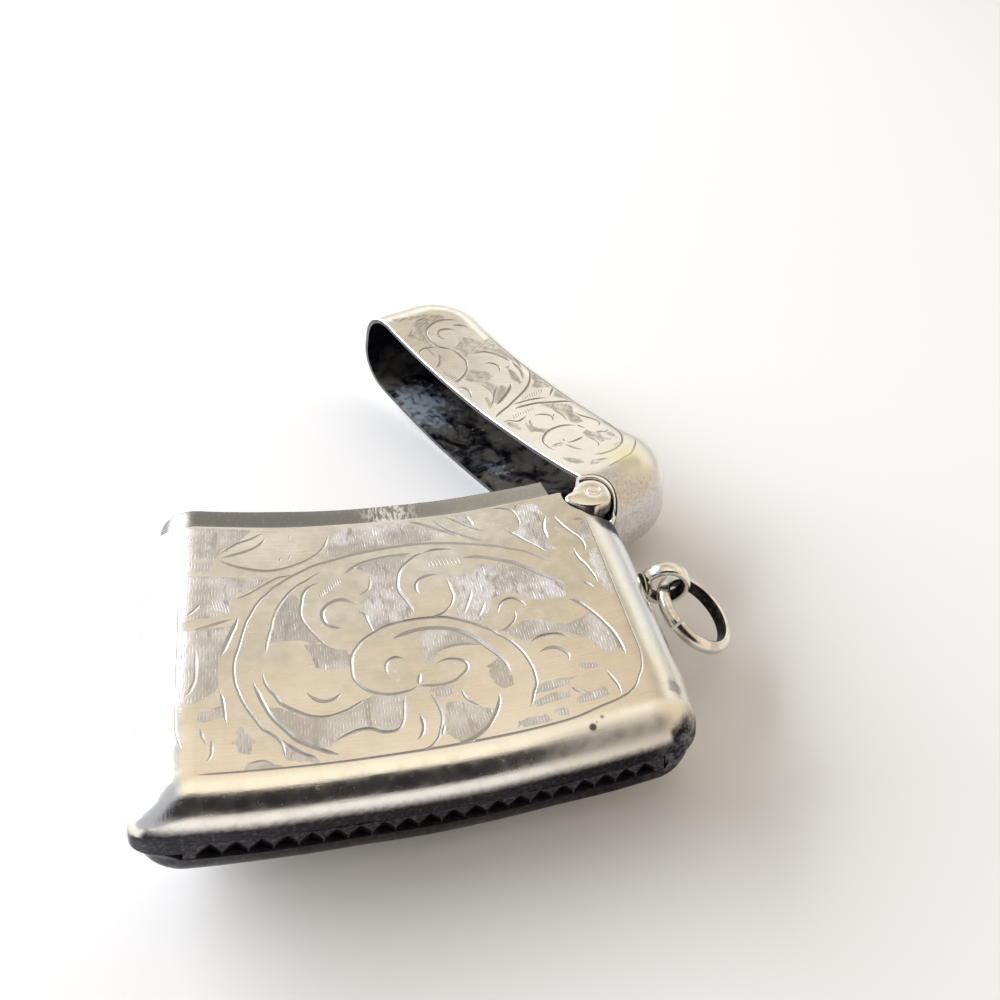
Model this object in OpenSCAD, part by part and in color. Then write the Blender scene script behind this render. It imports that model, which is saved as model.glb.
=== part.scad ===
// Pocket-curved vesta case (match case), lying on its back with the lid open.
// +X runs across the case towards the hinge side, +Y from the striker end to
// the lid, +Z out of the engraved face. The origin is the middle of the
// striker end, at mid-thickness. All sizes are in millimetres.

/* [Case] */
// Width of the case across the hinge and ring sides
case_w = 38; // [34:0.5:44]
// Thickness of the case, measured square to its curved faces
case_t = 8.85; // [7.5:0.05:10.5]
// Radius of the pocket curve, measured to mid-thickness
arch_r = 79.5; // [70:0.5:140]
// Height of the body from the striker end to the mouth
body_h = 24.5; // [20:0.5:30]
// Height of the lid from the mouth to its top
lid_h = 10.7; // [8:0.1:14]
// Thickness of the silver sheet
wall = 0.5; // [0.4:0.05:0.7]

/* [Rounding] */
// Radius of the rolled long sides
side_roll = 3.6; // [3:0.1:4.2]
// Radius of the roll between the front face and the striker end
base_roll_front = 2.3; // [1.6:0.1:2.6]
// Radius of the roll between the back face and the striker end
base_roll_back = 4.0; // [3:0.1:4.1]
// Radius of the roll around the top of the lid
top_roll = 3.2; // [2:0.1:3.6]
// Plan radius of the two corners at the striker end
base_corner = 3.0; // [2:0.1:4]
// Plan radius of the two corners at the lid's top
top_corner = 6.0; // [4:0.1:7]

/* [Mouth] */
// Gap between the lid's edge and the body's edge when closed
seam_gap = 0.1; // [0.05:0.01:0.2]
// Height of the collar above the mouth
collar_rise = 2.8; // [1:0.1:3]
// Depth of the collar inside the body
collar_depth = 3.5; // [2:0.1:5]
// Clearance between the collar and the closed lid
collar_gap = 0.25; // [0.2:0.01:0.35]
// Where the collar stops short of the hinge
collar_end_x = 12.6; // [10:0.1:13]

/* [Hinge] */
// Distance of the hinge pin from the middle of the case
hinge_x = 16.7; // [15:0.1:17]
// Distance of the hinge pin below the mouth
hinge_drop = 0.5; // [0.3:0.05:0.8]
// Opening angle of the lid as modelled
lid_open = 63; // [0:1:90]
// Diameter of the hinge pin
pin_d = 1.2; // [1:0.05:1.4]
// Radial running clearance of the lid's knuckle on the pin
pin_play = 0.04; // [0.02:0.01:0.08]
// Radius of the ear plates
ear_r = 1.7; // [1.5:0.05:1.8]
// Thickness of each ear plate
ear_t = 1.5; // [1:0.1:2]
// Outer radius of the lid's curled hinge guard
guard_r = 2.3; // [2.2:0.05:2.4]

/* [Striker] */
// Spacing of the striker's teeth
tooth_pitch = 1.5; // [1.2:0.05:2]
// Depth of the striker's teeth
tooth_d = 0.38; // [0.2:0.02:0.4]
// Width of the striker
striker_w = 31.5; // [28:0.5:32]

/* [Ring] */
// Height of the suspension eye above the striker end
eye_y = 15.85; // [12:0.05:17]
// Outside diameter of the suspension eye
eye_od = 4.1; // [3.9:0.1:4.3]
// Hole diameter of the suspension eye
eye_id = 2.8; // [2.6:0.1:3]
// Radius of the jump ring to the middle of its wire
ring_r = 3.3; // [3:0.1:4]
// Thickness of the jump ring's wire
ring_wire = 1.1; // [0.9:0.05:1.2]

/* [Hidden] */
$fn = 96;
top_y = body_h + lid_h;
phi1 = asin((case_w/2 - side_roll)/(arch_r + case_t/2 - side_roll));
hx = hinge_x;
hy = body_h - hinge_drop;
hinge_top = 6.0;
hinge_bot = -2.3;
guard_in = guard_r - 0.4;
notch_r = guard_r + 0.48;
notch_y = hy - guard_r - 0.2;
flat_hi = case_t/2 - base_roll_front;
flat_lo = -(case_t/2 - base_roll_back);
// The striker lies along the middle of the thickness, behind a plain margin
strike_hi = flat_lo + 0.52*(flat_hi - flat_lo);
strike_lo = flat_lo - min(0.23, 0.09*(flat_hi - flat_lo));
plate_y = wall + 0.02;
// The eye's middle, at the case's side
eye = [case_w/2 + 2, eye_y, 2.3];
// The eye is twisted a little on its foot
eye_twist = 12;
// The jump ring lies tilted: turned this far about Z, then about its own Y
ring_tilt = 31;
ring_turn = -12;
// Place of the ring's middle
ring_c = [22.97, 13.47, 0.85];

silver = [0.80, 0.77, 0.70];
silver_dark = [0.45, 0.43, 0.40];

// ---------- shared shapes ----------

// Extrudes an x-z outline along Y from y0 to y1
module along_y(y0, y1) {
    translate([0, y1, 0]) rotate([90, 0, 0]) linear_extrude(y1 - y0) children();
}

// Sweeps an r-y outline around the axis of the pocket curve
module around_arch(a) {
    translate([0, 0, arch_r]) rotate([-90, 0, 0]) rotate([0, 0, 90 - a])
        rotate_extrude(angle = 2*a, $fn = 360) children();
}

// Cross-section of the case, d inside its outer surface
module section2d(d) {
    translate([0, arch_r]) {
        intersection() {
            difference() {
                circle(r = arch_r + case_t/2 - d, $fn = 720);
                circle(r = arch_r - case_t/2 + d, $fn = 720);
            }
            polygon([[0, 0],
                     [-2*arch_r*sin(phi1), -2*arch_r*cos(phi1)],
                     [2*arch_r*sin(phi1), -2*arch_r*cos(phi1)]]);
        }
        for (s = [-1, 1]) rotate(s*phi1) {
            for (k = [-1, 1])
                translate([0, -(arch_r + k*(case_t/2 - side_roll))])
                    circle(r = side_roll - d);
            translate([s > 0 ? -0.01 : -(side_roll - d), -(arch_r + case_t/2 - side_roll)])
                square([side_roll - d + 0.01, case_t - 2*side_roll]);
        }
    }
}

// Side view of the case: rolled at the striker end and at the lid's top
module side2d(d) {
    ri = arch_r - case_t/2;
    ro = arch_r + case_t/2;
    rm = max(base_roll_front, base_roll_back);
    translate([ri + d, rm]) square([case_t - 2*d, top_y - top_roll - rm]);
    translate([ri + base_roll_front, d]) square([case_t - base_roll_front - base_roll_back, rm]);
    translate([ri + d, base_roll_front]) square([base_roll_front - d + 0.01, rm - base_roll_front + 0.01]);
    translate([ri + base_roll_front, base_roll_front]) circle(r = base_roll_front - d);
    translate([ro - base_roll_back, base_roll_back]) circle(r = base_roll_back - d);
    translate([ri + top_roll, top_y - top_roll - 0.01]) square([case_t - 2*top_roll, top_roll - d + 0.01]);
    for (r = [ri + top_roll, ro - top_roll])
        translate([r, top_y - top_roll]) circle(r = top_roll - d);
}

// Plan of the case, a little wider than it, with its four corners rounded
module plan2d(d) {
    w = case_w/2 + 0.4 - d;
    bc = base_corner - d;
    tc = top_corner - d;
    translate([-w, base_corner]) square([2*w, top_y - base_corner - top_corner]);
    translate([-w + bc, d]) square([2*w - 2*bc, base_corner]);
    translate([-w + tc, top_y - top_corner - 0.01]) square([2*w - 2*tc, tc + 0.01]);
    for (s = [-1, 1]) {
        translate([s*(w - bc), base_corner]) circle(r = bc);
        translate([s*(w - tc), top_y - top_corner]) circle(r = tc);
    }
}

// The closed case as one solid, d inside its outer surface
module case_solid(d) {
    intersection() {
        along_y(-1, top_y + 1) section2d(d - 0.03);
        around_arch(20) side2d(d);
        translate([0, 0, -12]) linear_extrude(30) plan2d(d);
    }
}

module case_shell() {
    difference() {
        case_solid(0);
        case_solid(wall);
    }
}

// Everything on the front side of the mid-thickness seam
module front_side() {
    translate([0, -2, arch_r]) rotate([-90, 0, 0]) cylinder(r = arch_r, h = top_y + 4, $fn = 720);
}

// Part of the curved wall between two heights and two angles
module arch_band(y0, y1, z0, z1, half_w) {
    a = asin(half_w/arch_r);
    along_y(y0, y1) translate([0, arch_r]) intersection() {
        difference() {
            circle(r = arch_r - z0, $fn = 720);
            circle(r = arch_r - z1, $fn = 720);
        }
        polygon([[0, 0], [-2*arch_r*sin(a), -2*arch_r*cos(a)], [2*arch_r*sin(a), -2*arch_r*cos(a)]]);
    }
}

// Turns the closed lid to the angle it is modelled at
module open_lid() {
    translate([hx, hy, 0]) rotate([0, 0, -lid_open]) translate([-hx, -hy, 0]) children();
}

// Upright bar around the hinge pin between two heights
module at_hinge(z0, z1) {
    translate([hx, hy, z0]) linear_extrude(z1 - z0) children();
}

module hinge_notch() {
    at_hinge(-12, 18) circle(r = notch_r);
    translate([hx, notch_y, -12]) cube([10, 20, 30]);
}

module body_half() {
    difference() {
        intersection() {
            case_shell();
            translate([-30, -1, -12]) cube([60, body_h + 1, 30]);
        }
        hinge_notch();
        arch_band(-1, wall + 0.2, strike_lo - 0.05, strike_hi + 0.05, striker_w/2 + 0.1);
    }
}

module lid_half() {
    difference() {
        intersection() {
            case_shell();
            translate([-30, body_h + seam_gap, -12]) cube([60, lid_h + 2, 30]);
        }
        at_hinge(-12, 18) circle(r = guard_r);
    }
}

// Outline of an ear plate: a disc with a quarter-round leaf to the body
module ear2d() {
    difference() {
        union() {
            circle(r = ear_r);
            intersection() {
                circle(r = notch_r);
                translate([-5, -5]) square([5, 5]);
            }
        }
        circle(d = pin_d);
    }
}

// ---------- body ----------

module body_front_shell() {
    color(silver) intersection() { body_half(); front_side(); }
}

module body_rear_shell() {
    color(silver) difference() { body_half(); front_side(); }
}

module mouth_collar() {
    color(silver) difference() {
        union() {
            along_y(body_h - collar_depth, body_h) difference() {
                section2d(wall + 0.02);
                section2d(wall + 0.5);
            }
            along_y(body_h - 1, body_h + collar_rise) difference() {
                section2d(wall + collar_gap);
                section2d(wall + collar_gap + 0.4);
            }
        }
        // cut away beside the hinge, with a slanted end
        translate([0, 0, -12]) linear_extrude(30)
            polygon([[collar_end_x + 0.5, 0], [collar_end_x + 0.5, body_h],
                     [collar_end_x - 0.6, body_h + collar_rise + 1],
                     [30, body_h + collar_rise + 1], [30, 0]]);
    }
}

module base_plate() {
    color(silver_dark) arch_band(plate_y, plate_y + wall, strike_lo - 0.1, flat_hi - 0.01, striker_w/2 + 0.4);
}

module striker_strip() {
    n = floor((striker_w/2 - 0.8)/tooth_pitch);
    color(silver_dark) difference() {
        arch_band(0, plate_y, strike_lo, strike_hi, striker_w/2);
        // V grooves between the flat-topped teeth
        for (i = [-n - 1 : n])
            translate([0, 0, arch_r]) rotate([0, -asin((i + 0.5)*tooth_pitch/arch_r), 0])
                translate([0, 0, -arch_r - 6]) linear_extrude(12)
                    polygon([[-tooth_pitch*0.36, -0.2], [-tooth_pitch*0.36, 0], [0, tooth_d],
                             [tooth_pitch*0.36, 0], [tooth_pitch*0.36, -0.2]]);
    }
}

module hinge_bearer() {
    color(silver_dark) {
        at_hinge(hinge_bot + ear_t, hinge_top - ear_t) intersection() {
            difference() {
                circle(r = notch_r);
                circle(r = guard_r - 0.3);
            }
            translate([-5, -5]) square([5, 5]);
        }
        // floor of the notch beside the hinge
        intersection() {
            along_y(notch_y - 0.6, notch_y) section2d(wall + 0.01);
            translate([hx, notch_y - 1, -12]) cube([10, 2, 30]);
        }
    }
}

module hinge_ear_front() {
    color(silver) at_hinge(hinge_top - ear_t, hinge_top) ear2d();
}

module hinge_ear_rear() {
    color(silver) at_hinge(hinge_bot, hinge_bot + ear_t) ear2d();
}

module hinge_pin() {
    color(silver_dark) translate([hx, hy, hinge_bot]) cylinder(d = pin_d, h = hinge_top - hinge_bot);
}

module suspension_eye() {
    er = (eye_od - eye_id)/4;
    color(silver) difference() {
        union() {
            // band loop, its hole running roughly along Y
            translate(eye) rotate([0, 0, -eye_twist]) rotate([90, 0, 0]) rotate_extrude()
                translate([eye_id/2 + er, 0]) {
                    for (s = [-1, 1]) translate([0, s*er]) circle(r = er, $fn = 32);
                    translate([-er, -er]) square([2*er, 2*er]);
                }
            // bulb and foot that join the loop to the side
            translate([case_w/2 + 0.35, eye[1], eye[2]]) sphere(r = 0.75, $fn = 48);
            translate([case_w/2 - 0.6, eye[1], eye[2]]) rotate([0, 90, 0]) cylinder(r = 1.05, h = 0.75, $fn = 48);
        }
        case_solid(0);
        // keeps the loop's hole clear
        translate(eye) rotate([0, 0, -eye_twist]) rotate([90, 0, 0])
            cylinder(d = eye_id - 0.001, h = 6, center = true);
    }
}

// ---------- lid ----------

module lid_front_shell() {
    color(silver) open_lid() intersection() { lid_half(); front_side(); }
}

module lid_rear_shell() {
    color(silver) open_lid() difference() { lid_half(); front_side(); }
}

module lid_hinge_guard() {
    color(silver) open_lid() intersection() {
        case_solid(0.02);
        at_hinge(-12, 18) intersection() {
            difference() {
                circle(r = guard_r);
                circle(r = guard_in);
            }
            translate([-5, 0.15]) square([10, 5]);
        }
    }
}

module lid_knuckle() {
    color(silver) open_lid() at_hinge(hinge_bot + ear_t + 0.1, hinge_top - ear_t - 0.1) difference() {
        union() {
            circle(r = 1.45);
            intersection() {
                circle(r = guard_in);
                translate([-0.45, 0]) square([0.9, 3]);
            }
        }
        circle(d = pin_d + 2*pin_play);
    }
}

// ---------- jump ring ----------

module jump_ring() {
    color(silver) translate(ring_c) rotate([0, 0, ring_turn]) rotate([0, ring_tilt, 0]) difference() {
        rotate_extrude() intersection() {
            translate([ring_r, 0]) circle(d = ring_wire, $fn = 48);
            translate([ring_r - 0.35, -2]) square([4, 4]);
        }
        // the split where the ring was opened
        rotate([0, 0, 226]) translate([ring_r - 2, -0.1, -2]) cube([4, 0.2, 4]);
    }
}

body_front_shell();
body_rear_shell();
mouth_collar();
base_plate();
striker_strip();
hinge_bearer();
hinge_ear_front();
hinge_ear_rear();
hinge_pin();
suspension_eye();
lid_front_shell();
lid_rear_shell();
lid_hinge_guard();
lid_knuckle();
jump_ring();
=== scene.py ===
"""Looks of a pocket-curved silver vesta case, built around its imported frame.

Sizes below are in millimetres in the part's own frame and become metres when
a mesh is made: +X towards the hinge, +Y from the striker end to the lid, +Z
out of the hollow engraved face.
"""
import math

import bpy
import numpy as np
from mathutils import Matrix, Vector
from mathutils.geometry import delaunay_2d_cdt


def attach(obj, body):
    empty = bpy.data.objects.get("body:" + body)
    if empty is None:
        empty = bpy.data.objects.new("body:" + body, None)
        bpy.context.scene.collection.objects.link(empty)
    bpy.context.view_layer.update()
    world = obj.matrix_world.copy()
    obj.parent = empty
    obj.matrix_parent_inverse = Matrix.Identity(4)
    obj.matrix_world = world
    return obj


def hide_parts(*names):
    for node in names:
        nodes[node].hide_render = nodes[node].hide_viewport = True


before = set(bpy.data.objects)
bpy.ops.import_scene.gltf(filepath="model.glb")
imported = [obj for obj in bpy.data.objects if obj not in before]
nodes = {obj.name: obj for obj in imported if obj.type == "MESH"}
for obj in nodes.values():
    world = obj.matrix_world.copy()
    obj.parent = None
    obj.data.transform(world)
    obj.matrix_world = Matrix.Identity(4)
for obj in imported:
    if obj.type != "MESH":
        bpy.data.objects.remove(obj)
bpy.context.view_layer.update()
rng = np.random.default_rng(1898)
PI = math.pi
MM = 0.001

# ------------------------------------------------------------------ sizes
RM, T, W2 = 79.5, 8.85, 19.0        # pocket curve, thickness, half width
RS, RBF, RBB, RT = 3.6, 2.3, 3.7205, 3.2   # rolls: sides, base front/rear, top
H, TOP, GAP, WALL = 24.5, 35.2, 0.1, 0.5
PHI = math.asin((W2 - RS) / (RM + T / 2 - RS))
U0 = RM * PHI                       # where the side roll starts
QUART = RS * PI / 2
PM = U0 + QUART + (T / 2 - RS)      # developed distance to the side seam
HX, HY = 16.7, 24.0                 # hinge axis
OPEN = math.radians(63)
NOTCH, GUARD = 2.78, 2.3
CX, CY, RC = U0 + RS - 6.0, TOP - 6.0, 6.0
SLOT_U, SLOT_N = 15.85, 0.951
STRIKE_LO, STRIKE_HI, STRIKE_W = -0.6545, 0.901, 15.75


# ------------------------------------------------------------------ shape
def bend(u, y, n):
    """Mid-surface distance u, height y and depth n to a point."""
    uc = np.clip(u, -U0, U0)
    a = uc / RM
    e = u - uc
    return np.stack([(RM - n) * np.sin(a) + e * np.cos(a), y + 0 * u,
                     RM - (RM - n) * np.cos(a) + e * np.sin(a)], -1)


def body_base(p, q, side):
    m = np.abs(p) - U0
    t = np.clip(m / RS, 0, PI / 2)
    n = T / 2 - RS * (1 - np.cos(t)) - np.maximum(0, m - QUART)
    u = np.where(m > 0, np.sign(p) * (U0 + RS * np.sin(t)), p)
    return bend(u, q, side * n)


def lid_base(p, q, side):
    ap = np.abs(p)
    dx, dy = np.maximum(ap - CX, 0), np.maximum(q - CY, 0)
    rho = np.hypot(dx, dy)
    psi = np.where(rho > 1e-9, np.arctan2(dy, np.maximum(dx, 1e-12)), 0)
    psi = np.where((dx <= 0) & (dy > 0), PI / 2, psi)
    r = RS * np.cos(psi) ** 2 + RT * np.sin(psi) ** 2
    m = rho - (RC - r)
    t = np.clip(m / r, 0, PI / 2)
    rad = np.where(m > 0, RC - r + r * np.sin(t), rho)
    n = T / 2 - np.where(m > 0, r * (1 - np.cos(t)) + np.maximum(0, m - r * PI / 2), 0)
    u = np.where(p < 0, -1.0, 1.0) * (np.minimum(ap, CX) + rad * np.cos(psi))
    y = np.minimum(q, CY) + rad * np.sin(psi)
    return bend(u, y, side * n)


def wobble(P, seed):
    """Hand-raised unevenness of the sheet."""
    x, y, z = P[..., 0], P[..., 1], P[..., 2]
    s = seed * 1.7
    return (0.020 * np.sin(0.52 * x + 0.31 * y + 1.0 + s) + 0.016 * np.sin(-0.37 * x + 0.63 * y + 0.4 * z + 2.1 + s)
            + 0.010 * np.sin(0.93 * x - 0.24 * y + 0.3 * z + 4.0 - s) + 0.007 * np.sin(0.41 * x + 1.15 * y + 0.5 + s))


def frame_of(base, p, q, side, seed):
    """Position, outward normal and unit tangents of the uneven surface."""
    def raw(a, b):
        P = base(a, b, side)
        d = 0.01
        ep = base(a + d, b, side) - base(a - d, b, side)
        eq = base(a, b + d, side) - base(a, b - d, side)
        N = np.cross(ep, eq) * side
        N /= np.linalg.norm(N, axis=-1, keepdims=True) + 1e-12
        return P + N * wobble(P, seed)[..., None], ep / (2 * d), eq / (2 * d)

    P, ep, eq = raw(p, q)
    d = 0.03
    fp = (raw(p + d, q)[0] - raw(p - d, q)[0]) / (2 * d)
    fq = (raw(p, q + d)[0] - raw(p, q - d)[0]) / (2 * d)
    N = np.cross(fp, fq) * side
    N /= np.linalg.norm(N, axis=-1, keepdims=True) + 1e-12
    return P, N, fp, fq


def p_of_x(x, side):
    tab = np.linspace(10, U0 + RS * (PI / 2 - PHI - 0.005), 3000)
    return np.interp(x, body_base(tab, tab * 0 + 10, side)[:, 0], tab)


def opened(P):
    c, s = math.cos(-OPEN), math.sin(-OPEN)
    Q = np.array(P, float)
    x, y = Q[..., 0] - HX, Q[..., 1] - HY
    Q[..., 0], Q[..., 1] = HX + c * x - s * y, HY + s * x + c * y
    return Q


def turned(N):
    c, s = math.cos(-OPEN), math.sin(-OPEN)
    Q = np.array(N, float)
    Q[..., 0], Q[..., 1] = c * N[..., 0] - s * N[..., 1], s * N[..., 0] + c * N[..., 1]
    return Q


def worn(P):
    """The lower right corner is knocked in and rounder than the others."""
    Q = np.array(P, float)
    f = np.clip((Q[..., 0] - 11.5) / 7.5, 0, 1) ** 2 * np.clip((5.5 - Q[..., 1]) / 5.5, 0, 1) ** 2
    Q[..., 0] -= 0.80 * f
    return Q


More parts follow.
